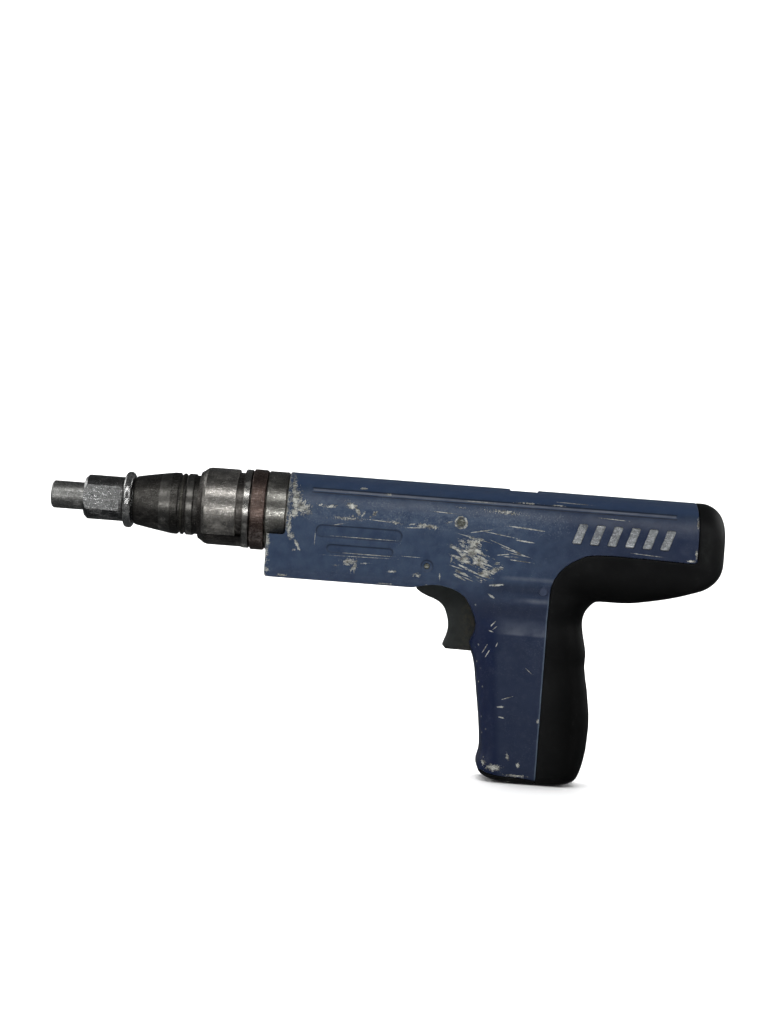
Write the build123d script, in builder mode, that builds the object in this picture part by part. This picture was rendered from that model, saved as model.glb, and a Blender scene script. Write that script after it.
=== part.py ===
from build123d import *
import os
from math import cos, radians, sin, sqrt

# Powder-actuated nail gun, millimetres.
# X runs along the barrel from the muzzle's mouth (X = 0) to the back of the tool,
# Z is up and the grip hangs down, Y is across the tool. The muzzle fires towards -X.
os.makedirs("parts", exist_ok=True)

# ---- driving dimensions -------------------------------------------------
# outer casing
body_r = 20.3            # radius of the round top of the body
body_low_hw = 19.0       # half width at the bottom of the body
body_bottom = -33.0      # underside of the body
body_corner = 5.0        # radius along the body's lower corners
tongue_x = 110.6         # front of the tongue under the steel ring
face_x = 119.8           # main front face of the housing
tongue_top = -11.3       # top edge of the tongue
seam_x = 325.0           # split between housing and rear cover on the body
grip_seam_x = 253.3      # split between housing and rear cover on the grip
seam_gap = 0.16
wall = 2.6

# receiver tube
tube_r = 18.3            # outside radius inside the housing
tube_flange_r = 20.0     # bright ring in front of the housing
tube_x0, tube_x1 = 109.0, 231.9
breech_face = 244.1      # face the load strip is fired against
breech_x1 = 249.6        # back of the breech block
striker_tube_x1 = 322.0
tube_bore_r = 16.0
housing_bore_r = 18.42

# front sleeve
sleeve_x0 = 75.0
sleeve_r = 19.5
sleeve_shoulder_r = 19.9
spigot_r = 17.15
pocket_r = 18.0
pocket_z = -14.4

# barrel
barrel_r = 15.7
barrel_bore_r = 11.0
barrel_x1 = 227.5
press_travel = 16.0      # safety travel when the nose is pressed on the work
pull_travel = 65.0       # forward pull that resets the piston
piston_stroke = 64.0
muzzle_bore_r = 4.2
rod_r = 3.9

# trigger group
trig_x, trig_z = 191.3, -21.6
trig_hw = 6.8
sear_x, sear_z = 250.0, -30.0

# load strip
strip_x0, strip_x1 = 232.0, 244.0
strip_hw = 4.4

# safety slider and its chamber
safe_y, safe_z = 12.0, -25.5
safe_len = sqrt(safe_y**2 + safe_z**2)
safe_dir = (0.0, safe_y / safe_len, safe_z / safe_len)

# ---- outer envelope shared by the housing, rear cover and base plate ----
# underside of the body's back, and the side view of the grip
under_pts = [(286.0, body_bottom), (294.0, -32.6), (303.0, -31.1), (312.0, -29.2), (320.0, -27.0), (330.0, -23.6)]
grip_front_pts = [
    (205.0, -30.0), (210.0, -42.0), (214.0, -54.0), (217.2, -63.0), (219.4, -69.0), (220.9, -78.0), (222.8, -90.0), (224.5, -102.0),
    (225.2, -110.0), (224.3, -116.5), (224.6, -121.0), (226.4, -124.0),
]
grip_rear_pts = [
    (269.0, -126.0), (273.2, -124.8), (275.4, -120.5), (277.4, -114.0), (278.6, -107.0), (279.1, -97.0), (278.3, -87.0), (276.4, -76.0),
    (274.6, -63.0), (272.9, -51.0), (271.9, -43.5), (273.2, -38.6), (277.0, -35.3), (283.0, -33.4), (290.0, -31.6),
]
grip_hw = 15.6

with BuildPart() as envelope:
    with BuildSketch(Plane.YZ.offset(tongue_x)) as sec:
        with BuildLine():
            ThreePointArc((-body_r, 0), (0, body_r), (body_r, 0))
            Polyline((body_r, 0), (body_low_hw, body_bottom), (-body_low_hw, body_bottom), (-body_r, 0))
        make_face()
    extrude(amount=328.0 - tongue_x)
    # rising underside at the back
    with BuildSketch(Plane.XZ):
        with BuildLine():
            Spline(*under_pts, tangents=((1, 0), (1, 0.34)))
            Polyline(under_pts[-1], (332.0, -40.0), (286.0, -40.0), under_pts[0])
        make_face()
    extrude(amount=30, both=True, mode=Mode.SUBTRACT)
    fillet(envelope.edges().filter_by(lambda e: abs(abs(e.center().Y) - 18.9) < 0.5 and e.center().Z < -20 and e.length > 30), body_corner)
    # rounded back end
    for x, r, hl, zb, cr in (
        (328.0, 20.3, 19.35, -24.3, 5.0),
        (332.0, 19.7, 18.6, -22.6, 5.4),
        (335.6, 17.9, 16.6, -19.6, 5.6),
        (338.5, 14.8, 13.4, -15.6, 5.0),
        (340.0, 10.5, 9.2, -11.0, 3.6),
    ):
        with BuildSketch(Plane.YZ.offset(x)) as sec:
            with BuildLine():
                ThreePointArc((-r, 0), (0, r), (r, 0))
                Polyline((r, 0), (hl, zb), (-hl, zb), (-r, 0))
            make_face()
            fillet(sec.vertices().group_by(Axis.Y)[0], cr)
    loft()
    body_solid = envelope.part

with BuildPart() as grip_block:
    with BuildSketch(Plane.XZ):
        with BuildLine():
            Spline(*grip_front_pts)
            Spline(grip_front_pts[-1], (229.6, -126.0), (236.0, -126.5), tangents=((0.5, -0.8), (1, 0)))
            Line((236.0, -126.5), (262.0, -126.5))
            Spline((262.0, -126.5), grip_rear_pts[0], tangents=((1, 0), (1, 0.12)))
            Spline(*grip_rear_pts)
            Polyline(grip_rear_pts[-1], (290.0, -26.0), (205.0, -26.0), grip_front_pts[0])
        make_face()
    extrude(amount=grip_hw, both=True)
    for lo_x, hi_x, lo_z, hi_z, r in ((200, 226.3, -125, -40, 7.0), (268.5, 280.0, -127, -36, 8.5)):
        picked = grip_block.edges().filter_by(
            lambda e: abs(abs(e.center().Y) - grip_hw) < 0.05 and lo_x < e.center().X < hi_x and lo_z < e.center().Z < hi_z and e.length > 30
        )
        for radius in (r, 5.5, 4.5, 3.5, 2.5):
            try:
                fillet(picked, radius)
                print("grip fillet", len(picked), radius)
                break
            except ValueError:
                continue

with BuildPart(mode=Mode.PRIVATE) as envelope_all:
    add(body_solid)
    add(grip_block.part)

# hollow of the trigger's finger side, seen from the side
cut_pts = [
    (182.0, -33.6), (186.6, -32.6), (190.0, -31.6), (194.1, -30.7), (199.1, -30.6), (204.3, -31.8),
    (208.5, -33.5), (211.7, -35.8), (214.6, -40.1), (217.0, -45.0), (218.0, -48.9),
    (217.6, -52.6), (216.3, -55.8), (215.5, -58.6), (216.0, -61.6), (217.6, -63.4),
]

# back region of the split, seen from the side
seam_pts = [
    (seam_x, 24.0), (seam_x, -8.4), (324.2, -9.9), (322.4, -10.3), (304.3, -9.8), (284.0, -9.5),
    (274.2, -9.8), (268.8, -11.0), (263.5, -13.9), (259.6, -16.9), (256.8, -20.1),
    (254.6, -23.6), (grip_seam_x + 0.3, -27.0), (grip_seam_x, -32.0), (grip_seam_x, -130.0),
]

# line under which the grip ends in its base plate
base_pts = [(215.0, -120.0), (224.8, -120.6), (230.0, -122.6), (237.0, -123.3), (247.0, -123.6), (grip_seam_x + 1.0, -124.3)]

# ---- housing: one casting, body and front of the grip -------------------
with BuildPart() as housing:
    add(envelope_all.part)
    # finger hollow
    with BuildSketch(Plane.XZ) as s:
        with BuildLine():
            Spline(*cut_pts)
            Polyline(cut_pts[-1], (196.0, -63.4), (180.0, -50.0), cut_pts[0])
        make_face()
    extrude(amount=30, both=True, mode=Mode.SUBTRACT)
    # rear part belongs to the cover
    with BuildSketch(Plane.XZ) as s:
        with BuildLine():
            Polyline(*seam_pts, (360.0, -130.0), (360.0, 24.0), seam_pts[0])
        make_face()
    extrude(amount=30, both=True, mode=Mode.SUBTRACT)
    # under the base line
    with BuildSketch(Plane.XZ) as s:
        with BuildLine():
            Polyline(*base_pts, (base_pts[-1][0], -132.0), (215.0, -132.0), base_pts[0])
        make_face()
    extrude(amount=30, both=True, mode=Mode.SUBTRACT)
    # front: everything above the tongue starts at the main face
    with BuildSketch(Plane.XZ) as s:
        with BuildLine():
            Polyline((100, 25), (face_x, 25), (face_x, tongue_top), (100, tongue_top), (100, 25))
        make_face()
        fillet(s.vertices().filter_by(lambda v: abs(v.X - face_x) < 0.1).sort_by(Axis.Z)[0], 1.5)
    extrude(amount=30, both=True, mode=Mode.SUBTRACT)
    # bore for the receiver tube, and the clearance of the steel ring over the tongue
    with BuildSketch(Plane.YZ.offset(100.0)):
        Circle(housing_bore_r)
    extrude(amount=240.0, mode=Mode.SUBTRACT)
    with BuildSketch(Plane.YZ.offset(100.0)):
        Circle(20.5)
    extrude(amount=face_x - 100.0, mode=Mode.SUBTRACT)
    # grip cavity
    with BuildSketch(Plane.XZ) as s:
        with BuildLine():
            Polyline(
                (212.0, -20.4), (262.0, -20.4), (262.0, -130.0), (230.0, -130.0), (227.8, -117.0), (228.2, -108.0),
                (224.4, -80.0), (222.2, -68.0), (221.5, -52.0), (216.0, -36.0), (212.0, -33.0), (212.0, -20.4),
            )
        make_face()
    extrude(amount=12.4, both=True, mode=Mode.SUBTRACT)
    # trigger pocket
    with BuildSketch(Plane.XZ) as s:
        with BuildLine():
            Polyline((187.6, -18.0), (231.0, -18.0), (231.0, -63.3), (200.0, -63.3), (186.0, -34.0), (186.0, -20.0), (187.6, -18.0))
        make_face()
    extrude(amount=7.2, both=True, mode=Mode.SUBTRACT)
    # windows from the grip cavity into the bore: load strip and sear nose
    with BuildSketch(Plane.XY.offset(-24.0)):
        with Locations(((strip_x0 + strip_x1) / 2, 0)):
            Rectangle(15.2, 11.8)
        with Locations((256.0, 0)):
            Rectangle(13.0, 9.0)
    extrude(amount=12.0, mode=Mode.SUBTRACT)
    # spent load strip leaves through the top, by a slot with wide lead-in flanks
    with BuildSketch(Plane.XY.offset(10.0)):
        with Locations(((strip_x0 + strip_x1) / 2, 0)):
            Rectangle(14.4, 11.0)
    extrude(amount=14.0, mode=Mode.SUBTRACT)
    # pawl pocket with the screw plug's seat
    with BuildSketch(Plane.XY.offset(-30.4)):
        with Locations((143.5, 0)):
            Rectangle(5.8, 6.8)
    extrude(amount=16.0, mode=Mode.SUBTRACT)
    with BuildSketch(Plane.XY.offset(-34.0)):
        with Locations((143.5, 0)):
            Circle(4.6)
    extrude(amount=3.6, mode=Mode.SUBTRACT)
    # chamber of the safety slider and its slot into the bore
    with BuildSketch(Plane.YZ.offset(100.0)):
        with Locations((safe_y, safe_z)):
            Circle(4.3)
    extrude(amount=86.0, mode=Mode.SUBTRACT)
    with BuildSketch(Plane(origin=(160.2, 0, 0), x_dir=(1, 0, 0), z_dir=safe_dir).offset(16.0)):
        Rectangle(21.6, 5.2)
    extrude(amount=10.0, mode=Mode.SUBTRACT)
    # pin holes: trigger pin with a shallow recess each side, sear pin
    with BuildSketch(Plane.XZ):
        with Locations((trig_x, trig_z)):
            Circle(1.5)
        with Locations((sear_x, sear_z)):
            Circle(2.04)
    extrude(amount=30, both=True, mode=Mode.SUBTRACT)
    for side in (-1, 1):
        with BuildSketch(Plane(origin=(trig_x, side * 18.7, trig_z), x_dir=(1, 0, 0), z_dir=(0, side, 0))):
            Circle(3.0)
        extrude(amount=3.0, mode=Mode.SUBTRACT)
        # lock screw hole in the side of the body
        with BuildSketch(Plane(origin=(206.6, side * 15.0, 1.2), x_dir=(1, 0, 0), z_dir=(0, side, 0))):
            Circle(2.1)
        extrude(amount=8.0, mode=Mode.SUBTRACT)
        # pill-shaped grooves
        with BuildSketch(Plane(origin=(0, side * 19.15, 0), x_dir=(1, 0, 0), z_dir=(0, side, 0))):
            with Locations((156.5, side * 8.0)):
                SlotOverall(42.8, 6.0)
        extrude(amount=3.0, mode=Mode.SUBTRACT)
        with BuildSketch(Plane(origin=(0, side * 18.75, 0), x_dir=(1, 0, 0), z_dir=(0, side, 0))):
            with Locations((157.5, side * 16.4)):
                SlotOverall(33.0, 4.0)
        extrude(amount=3.0, mode=Mode.SUBTRACT)
        # long thin rib high on the side
        with BuildSketch(Plane(origin=(222.8, 0, 0), x_dir=(1, 0, 0), z_dir=(0, side * cos(radians(35.8)), sin(radians(35.8)))).offset(19.6)):
            SlotOverall(181.0, 2.0)
        extrude(amount=1.05)
    # six slanted raised bars in place of lettering, on the side towards -Y and mirrored
    for side in (-1, 1):
        for k in range(6):
            xc = 267.0 + k * 8.6
            with BuildSketch(Plane(origin=(0, side * 18.8, 0), x_dir=(1, 0, 0), z_dir=(0, side, 0))) as s:
                with BuildLine():
                    Polyline(
                        (xc - 1.0, -side * 5.2), (xc + 3.4, -side * 5.2), (xc + 1.0, side * 5.0), (xc - 3.4, side * 5.0), (xc - 1.0, -side * 5.2)
                    )
                make_face()
                fillet(s.vertices(), 1.0)
            extrude(amount=1.95)
    # holes for the base screws
    with BuildSketch(Plane.XY.offset(-130.0)):
        with Locations((240.0, -13.0), (240.0, 13.0)):
            Circle(1.3)
    extrude(amount=13.0, mode=Mode.SUBTRACT)
housing.part.label = "housing"
print("housing", housing.part.is_valid, len(housing.part.solids()), round(housing.part.volume))
export_step(housing.part, "parts/housing.step")

# ---- rear cover: back of the body and back of the grip -------------------
with BuildPart() as rear_cover:
    add(envelope_all.part)
    with BuildSketch(Plane.XZ) as s:
        with BuildLine():
            Polyline(*[(x + seam_gap, z - seam_gap) for x, z in seam_pts], (360.0, -130.2), (360.0, 23.8), (seam_x + seam_gap, 23.8))
        make_face()
    extrude(amount=30, both=True, mode=Mode.INTERSECT)
    # room for the receiver tube and its plug
    with BuildSketch(Plane.YZ.offset(240.0)):
        Circle(18.6)
    extrude(amount=84.9, mode=Mode.SUBTRACT)
    with BuildSketch(Plane.YZ.offset(320.0)):
        Circle(14.0)
    extrude(amount=16.0, mode=Mode.SUBTRACT)
    # hollow under the tube
    with BuildSketch(Plane.XZ) as s:
        with BuildLine():
            Polyline(
                (250.0, -12.0), (318.0, -12.0), (318.0, -24.4), (306.0, -27.4), (294.0, -29.6), (280.0, -31.6), (272.0, -34.0), (250.0, -34.0), (250.0, -12.0),
            )
        make_face()
    extrude(amount=14.6, both=True, mode=Mode.SUBTRACT)
    # hollow of the grip's back
    with BuildSketch(Plane.XZ) as s:
        with BuildLine():
            Polyline(
                (250.0, -28.0), (272.0, -28.0), (269.4, -38.0), (269.0, -46.0), (270.8, -58.0), (273.0, -74.0),
                (275.6, -92.0), (275.2, -108.0), (272.6, -119.0), (270.0, -123.4), (250.0, -123.4), (250.0, -28.0),
            )
        make_face()
    extrude(amount=12.4, both=True, mode=Mode.SUBTRACT)
    # boss for the lower cover screw, and the screws' holes
    with BuildSketch(Plane.YZ.offset(254.0)):
        with Locations((0, -104.0)):
            Circle(4.2)
    extrude(amount=22.5)
    with BuildSketch(Plane.YZ.offset(250.0)):
        with Locations((0, -104.0)):
            Circle(1.7)
    extrude(amount=40.0, mode=Mode.SUBTRACT)
    with BuildSketch(Plane.YZ.offset(275.2)):
        with Locations((0, -104.0)):
            Circle(3.3)
    extrude(amount=10.0, mode=Mode.SUBTRACT)
    with BuildSketch(Plane.YZ.offset(320.0)):
        Circle(2.2)
    extrude(amount=30.0, mode=Mode.SUBTRACT)
    with BuildSketch(Plane.YZ.offset(337.2)):
        Circle(4.0)
    extrude(amount=10.0, mode=Mode.SUBTRACT)
rear_cover.part.label = "rear_cover"
export_step(rear_cover.part, "parts/rear_cover.step")

# ---- grip base plate ------------------------------------------------------
with BuildPart() as grip_base_plate:
    add(envelope_all.part)
    with BuildSketch(Plane.XZ) as s:
        with BuildLine():
            Polyline(*[(x, z - seam_gap) for x, z in base_pts[:-1]], (grip_seam_x - seam_gap, -124.4), (grip_seam_x - seam_gap, -132.0), (215.0, -132.0), (215.0, base_pts[0][1] - seam_gap))
        make_face()
    extrude(amount=30, both=True, mode=Mode.INTERSECT)
    with BuildSketch(Plane.XY.offset(-130.0)):
        with Locations(((strip_x0 + strip_x1) / 2, 0)):
            Rectangle(12.0, 2 * strip_hw)
    extrude(amount=14.0, mode=Mode.SUBTRACT)
    with BuildSketch(Plane.XY.offset(-130.0)):
        with Locations((240.0, -13.0), (240.0, 13.0)):
            Circle(1.3)
    extrude(amount=14.0, mode=Mode.SUBTRACT)
    with BuildSketch(Plane.XY.offset(-130.0)):
        with Locations((240.0, -13.0), (240.0, 13.0)):
            Circle(1.3)
    extrude(amount=14.0, mode=Mode.SUBTRACT)
grip_base_plate.part.label = "grip_base_plate"
export_step(grip_base_plate.part, "parts/grip_base_plate.step")

# ---- receiver tube --------------------------------------------------------
with BuildPart() as receiver_tube:
    with BuildSketch(Plane.XZ):
        with BuildLine():
            Polyline(
                (tube_x0, 17.2), (tube_x0, 19.4), (tube_x0 + 0.6, tube_flange_r), (118.8, tube_flange_r), (119.4, 19.4), (119.4, tube_r),
                (tube_x1, tube_r), (tube_x1, tube_bore_r), (124.5, tube_bore_r), (124.5, 17.2), (tube_x0, 17.2),
            )
        make_face()
    revolve(axis=Axis.X)
    # pawl slot
    with BuildSketch(Plane.XY.offset(-22.0)):
        with Locations((143.5, 0)):
            Rectangle(6.6, 7.2)
    extrude(amount=12.0, mode=Mode.SUBTRACT)
    # safety lug slot
    with BuildSketch(Plane(origin=(160.2, 0, 0), x_dir=(1, 0, 0), z_dir=safe_dir).offset(12.0)):
        Rectangle(21.6, 5.2)
    extrude(amount=10.0, mode=Mode.SUBTRACT)
receiver_tube.part.label = "receiver_tube"
export_step(receiver_tube.part, "parts/receiver_tube.step")

# ---- front sleeve with its milled pocket ----------------------------------
with BuildPart() as front_sleeve:
    with BuildSketch(Plane.XZ):
        with BuildLine():
            Polyline(
                (sleeve_x0, tube_bore_r), (sleeve_x0, 16.9), (76.4, 17.7), (78.2, 19.0), (80.0, sleeve_r), (97.0, sleeve_r), (97.6, sleeve_shoulder_r),
                (100.6, sleeve_shoulder_r), (101.0, 19.4), (101.0, spigot_r), (124.4, spigot_r), (124.4, tube_bore_r), (sleeve_x0, tube_bore_r),
            )
        make_face()
    revolve(axis=Axis.X)
    # pocket for the band, open all round above its lower edge
    with BuildSketch(Plane.YZ.offset(77.2)):
        Circle(22.0)
        Circle(pocket_r, mode=Mode.SUBTRACT)
        with Locations((0, pocket_z)):
            Rectangle(60, 40, align=(Align.CENTER, Align.MAX), mode=Mode.SUBTRACT)
    extrude(amount=20.2, mode=Mode.SUBTRACT)
    # hole for the stop key, on the far side
    with BuildSketch(Plane.XZ.offset(-12.0)):
        with Locations((92.6, 0)):
            Rectangle(3.8, 4.8)
    extrude(amount=-10.0, mode=Mode.SUBTRACT)
front_sleeve.part.label = "front_sleeve"
export_step(front_sleeve.part, "parts/front_sleeve.step")

# C-shaped spring band in the pocket
with BuildPart() as retaining_band:
    with BuildSketch(Plane.XZ):
        with BuildLine():
            Polyline((77.35, 18.05), (77.35, 18.5), (78.6, 19.3), (80.2, 19.55), (93.9, 19.55), (94.3, 19.2), (94.3, 18.05), (77.35, 18.05))
        make_face()
    revolve(axis=Axis.X)
    with BuildSketch(Plane.YZ.offset(70.0)):
        with Locations((0, pocket_z + 0.35)):
            Rectangle(60, 40, align=(Align.CENTER, Align.MAX))
    extrude(amount=40.0, mode=Mode.SUBTRACT)
retaining_band.part.label = "retaining_band"
export_step(retaining_band.part, "parts/retaining_band.step")

# key that limits the barrel's slide, under the band
with BuildPart() as stop_key:
    with BuildSketch(Plane.XZ.offset(-13.5)):
        with Locations((92.6, 0)):
            Rectangle(3.7, 4.7)
    extrude(amount=-4.3)
stop_key.part.label = "stop_key"
export_step(stop_key.part, "parts/stop_key.step")

# brown ring on the sleeve's spigot
with BuildPart() as wear_ring:
    with BuildSketch(Plane.XZ):
        with BuildLine():
            Polyline((101.5, 17.25), (101.5, 19.9), (102.0, 20.4), (107.9, 20.3), (108.6, 19.7), (108.6, 17.25), (101.5, 17.25))
        make_face()
    revolve(axis=Axis.X)
wear_ring.part.label = "wear_ring"
export_step(wear_ring.part, "parts/wear_ring.step")

# ---- barrel: everything that slides forward to reset the piston -----------
with BuildPart() as muzzle_tube:
    with BuildSketch(Plane.XZ):
        with BuildLine():
            Polyline((0, muzzle_bore_r), (0, 6.1), (0.9, 7.0), (16.6, 7.0), (16.6, 6.8), (30.0, 6.8), (30.0, 8.6), (38.0, 8.6), (38.0, muzzle_bore_r), (0, muzzle_bore_r))
        make_face()
    revolve(axis=Axis.X)
muzzle_tube.part.label = "muzzle_tube"
export_step(muzzle_tube.part, "parts/muzzle_tube.step")

with BuildPart() as muzzle_nose:
    with BuildSketch(Plane.XZ):
        with BuildLine():
            Polyline((16.8, 6.85), (16.8, 9.8), (18.3, 11.25), (36.4, 11.25), (36.4, 9.4), (48.6, 9.4), (48.6, 8.65), (29.9, 8.65), (29.9, 6.85), (16.8, 6.85))
        make_face()
    revolve(axis=Axis.X)
    # wrench flats
    for side in (-1, 1):
        with BuildSketch(Plane(origin=(0, side * 9.45, 0), x_dir=(1, 0, 0), z_dir=(0, side, 0))):
            with Locations((24.9, 0)):
                Rectangle(20.0, 30.0)
        extrude(amount=5.0, mode=Mode.SUBTRACT)
muzzle_nose.part.label = "muzzle_nose"
export_step(muzzle_nose.part, "parts/muzzle_nose.step")

with BuildPart() as muzzle_ring:
    with BuildSketch(Plane.XZ) as s:
        with BuildLine():
            Polyline((36.9, 9.45), (36.9, 14.2), (41.3, 14.2), (41.3, 9.45), (36.9, 9.45))
        make_face()
        fillet(s.vertices().group_by(Axis.Y)[-1], 2.0)
    revolve(axis=Axis.X)
muzzle_ring.part.label = "muzzle_ring"
export_step(muzzle_ring.part, "parts/muzzle_ring.step")

with BuildPart() as nose_cone:
    with BuildSketch(Plane.XZ):
        with BuildLine():
            Polyline(
                (41.9, 9.45), (41.9, 11.6), (43.0, 12.4), (60.0, 15.4), (61.5, 15.6), (64.4, 15.6), (65.0, 14.6), (68.2, 14.6), (68.8, 15.6),
                (72.2, 15.6), (72.7, 14.9), (73.9, 14.9), (73.9, 13.05), (60.2, 13.05), (60.2, 5.0), (48.7, 5.0), (48.7, 9.45), (41.9, 9.45),
            )
        make_face()
    revolve(axis=Axis.X)
nose_cone.part.label = "nose_cone"
export_step(nose_cone.part, "parts/nose_cone.step")

with BuildPart() as cone_ring:
    with BuildSketch(Plane.XZ):
        with Locations((66.6, 15.05)):
            Rectangle(1.4, 0.8)
    revolve(axis=Axis.X)
cone_ring.part.label = "cone_ring"
export_step(cone_ring.part, "parts/cone_ring.step")

with BuildPart() as barrel_tube:
    with BuildSketch(Plane.XZ):
        with BuildLine():
            Polyline(
                (60.4, barrel_bore_r), (60.4, 13.0), (74.0, 13.0), (74.0, 14.9), (76.2, 14.9), (76.8, barrel_r), (barrel_x1 - 0.8, barrel_r),
                (barrel_x1, barrel_r - 0.8), (barrel_x1, barrel_bore_r), (60.4, barrel_bore_r),
            )
        make_face()
    revolve(axis=Axis.X)
    # through slot for the pawl
    with BuildSketch(Plane.XY.offset(-18.0)):
        with Locations(((124.0 + 212.0) / 2, 0)):
            Rectangle(88.0, 7.6)
    extrude(amount=9.0, mode=Mode.SUBTRACT)
    # groove for the stop key, on the far side
    with BuildSketch(Plane.XZ.offset(-13.1)):
        with Locations(((74.4 + 160.2) / 2, 0)):
            Rectangle(85.8, 5.4)
    extrude(amount=-5.0, mode=Mode.SUBTRACT)
    # groove for the safety slider's lug
    with BuildSketch(Plane(origin=((149.7 + 219.6) / 2, 0, 0), x_dir=(1, 0, 0), z_dir=safe_dir).offset(13.6)):
        Rectangle(69.9, 5.2)
    extrude(amount=5.0, mode=Mode.SUBTRACT)
barrel_tube.part.label = "barrel_tube"
export_step(barrel_tube.part, "parts/barrel_tube.step")

with BuildPart() as rod_guide:
    with BuildSketch(Plane.XZ):
        with BuildLine():
            Polyline((60.5, 4.6), (60.5, 10.95), (98.0, 10.95), (98.0, 4.6), (60.5, 4.6))
        make_face()
    revolve(axis=Axis.X)
rod_guide.part.label = "rod_guide"
export_step(rod_guide.part, "parts/rod_guide.step")

with BuildPart() as buffer_ring:
    with BuildSketch(Plane.XZ) as s:
        with BuildLine():
            Polyline((98.2, 4.9), (98.2, 10.7), (119.3, 10.7), (119.3, 4.9), (98.2, 4.9))
        make_face()
        fillet(s.vertices(), 0.8)
    revolve(axis=Axis.X)
buffer_ring.part.label = "buffer_ring"
export_step(buffer_ring.part, "parts/buffer_ring.step")

with BuildPart() as buffer_washer:
    with BuildSketch(Plane.XZ):
        with BuildLine():
            Polyline((119.5, 4.6), (119.5, 10.9), (122.7, 10.9), (122.7, 4.6), (119.5, 4.6))
        make_face()
    revolve(axis=Axis.X)
buffer_washer.part.label = "buffer_washer"
export_step(buffer_washer.part, "parts/buffer_washer.step")

with BuildPart() as chamber_insert:
    with BuildSketch(Plane.XZ):
        with BuildLine():
            Polyline((223.6, 3.5), (223.6, 10.95), (227.4, 10.95), (227.4, 4.0), (226.9, 3.5), (223.6, 3.5))
        make_face()
    revolve(axis=Axis.X)
chamber_insert.part.label = "chamber_insert"
export_step(chamber_insert.part, "parts/chamber_insert.step")

# ---- piston ---------------------------------------------------------------
with BuildPart() as piston:
    with BuildSketch(Plane.XZ):
        with BuildLine():
            Polyline(
                (64.0, 0), (64.0, rod_r), (187.0, rod_r), (188.0, 7.5), (212.0, 7.5), (212.0, 10.6), (214.4, 10.6), (214.4, 9.2), (216.0, 9.2),
                (216.0, 10.6), (218.4, 10.6), (218.4, 9.2), (220.0, 9.2), (220.0, 10.6), (223.0, 10.6), (223.0, 0), (64.0, 0),
            )
        make_face()
    revolve(axis=Axis.X)
piston.part.label = "piston"
export_step(piston.part, "parts/piston.step")

with BuildPart() as piston_rings:
    with BuildSketch(Plane.XZ):
        with Locations((215.2, 10.05), (219.2, 10.05)):
            Rectangle(1.4, 1.6)
    revolve(axis=Axis.X)
    with BuildSketch(Plane.XY.offset(8.0)):
        with Locations((217.2, 0)):
            Rectangle(8.0, 0.8)
    extrude(amount=5.0, mode=Mode.SUBTRACT)
piston_rings.part.label = "piston_rings"
export_step(piston_rings.part, "parts/piston_rings.step")

# ---- breech and striker ---------------------------------------------------
# two ears reach forward beside the load strip, the disc behind them carries the striker's pin
with BuildPart() as breech_block:
    with BuildSketch(Plane.XZ):
        with BuildLine():
            Polyline(
                (breech_face, 1.9), (breech_face, tube_bore_r), (strip_x0, tube_bore_r), (strip_x0, tube_r), (breech_x1, tube_r), (breech_x1, 1.9), (breech_face, 1.9),
            )
        make_face()
    revolve(axis=Axis.X)
    with BuildSketch(Plane.XY.offset(-25.0)):
        with Locations((breech_face - 14.0, 0)):
            Rectangle(14.0, 2 * strip_hw, align=(Align.MIN, Align.CENTER))
    extrude(amount=50.0, mode=Mode.SUBTRACT)
breech_block.part.label = "breech_block"
export_step(breech_block.part, "parts/breech_block.step")

with BuildPart() as striker_tube:
    with BuildSketch(Plane.XZ):
        with BuildLine():
            Polyline((breech_x1 + 0.1, tube_bore_r), (breech_x1 + 0.1, tube_r), (striker_tube_x1, tube_r), (striker_tube_x1, tube_bore_r), (breech_x1 + 0.1, tube_bore_r))
        make_face()
    revolve(axis=Axis.X)
    # slot for the sear's nose
    with BuildSketch(Plane.XY.offset(-22.0)):
        with Locations((248.0, 0)):
            Rectangle(13.0, 7.6, align=(Align.MIN, Align.CENTER))
    extrude(amount=12.0, mode=Mode.SUBTRACT)
striker_tube.part.label = "striker_tube"
export_step(striker_tube.part, "parts/striker_tube.step")

with BuildPart() as striker:
    with BuildSketch(Plane.XZ):
        with BuildLine():
            Polyline(
                (244.5, 0), (244.5, 1.2), (245.0, 1.5), (250.6, 1.5), (250.6, 6.0), (258.8, 6.0), (258.8, 14.0), (263.0, 14.0), (263.0, 9.0),
                (299.0, 9.0), (300.0, 8.0), (300.0, 0), (244.5, 0),
            )
        make_face()
    revolve(axis=Axis.X)
striker.part.label = "striker"
export_step(striker.part, "parts/striker.step")

with BuildPart() as rear_plug:
    with BuildSketch(Plane.XZ):
        with BuildLine():
            Polyline((316.0, 0), (316.0, 15.95), (321.9, 15.95), (321.9, 2.0), (318.0, 2.0), (318.0, 0), (316.0, 0))
        make_face()
    revolve(axis=Axis.X)
rear_plug.part.label = "rear_plug"
export_step(rear_plug.part, "parts/rear_plug.step")

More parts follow.
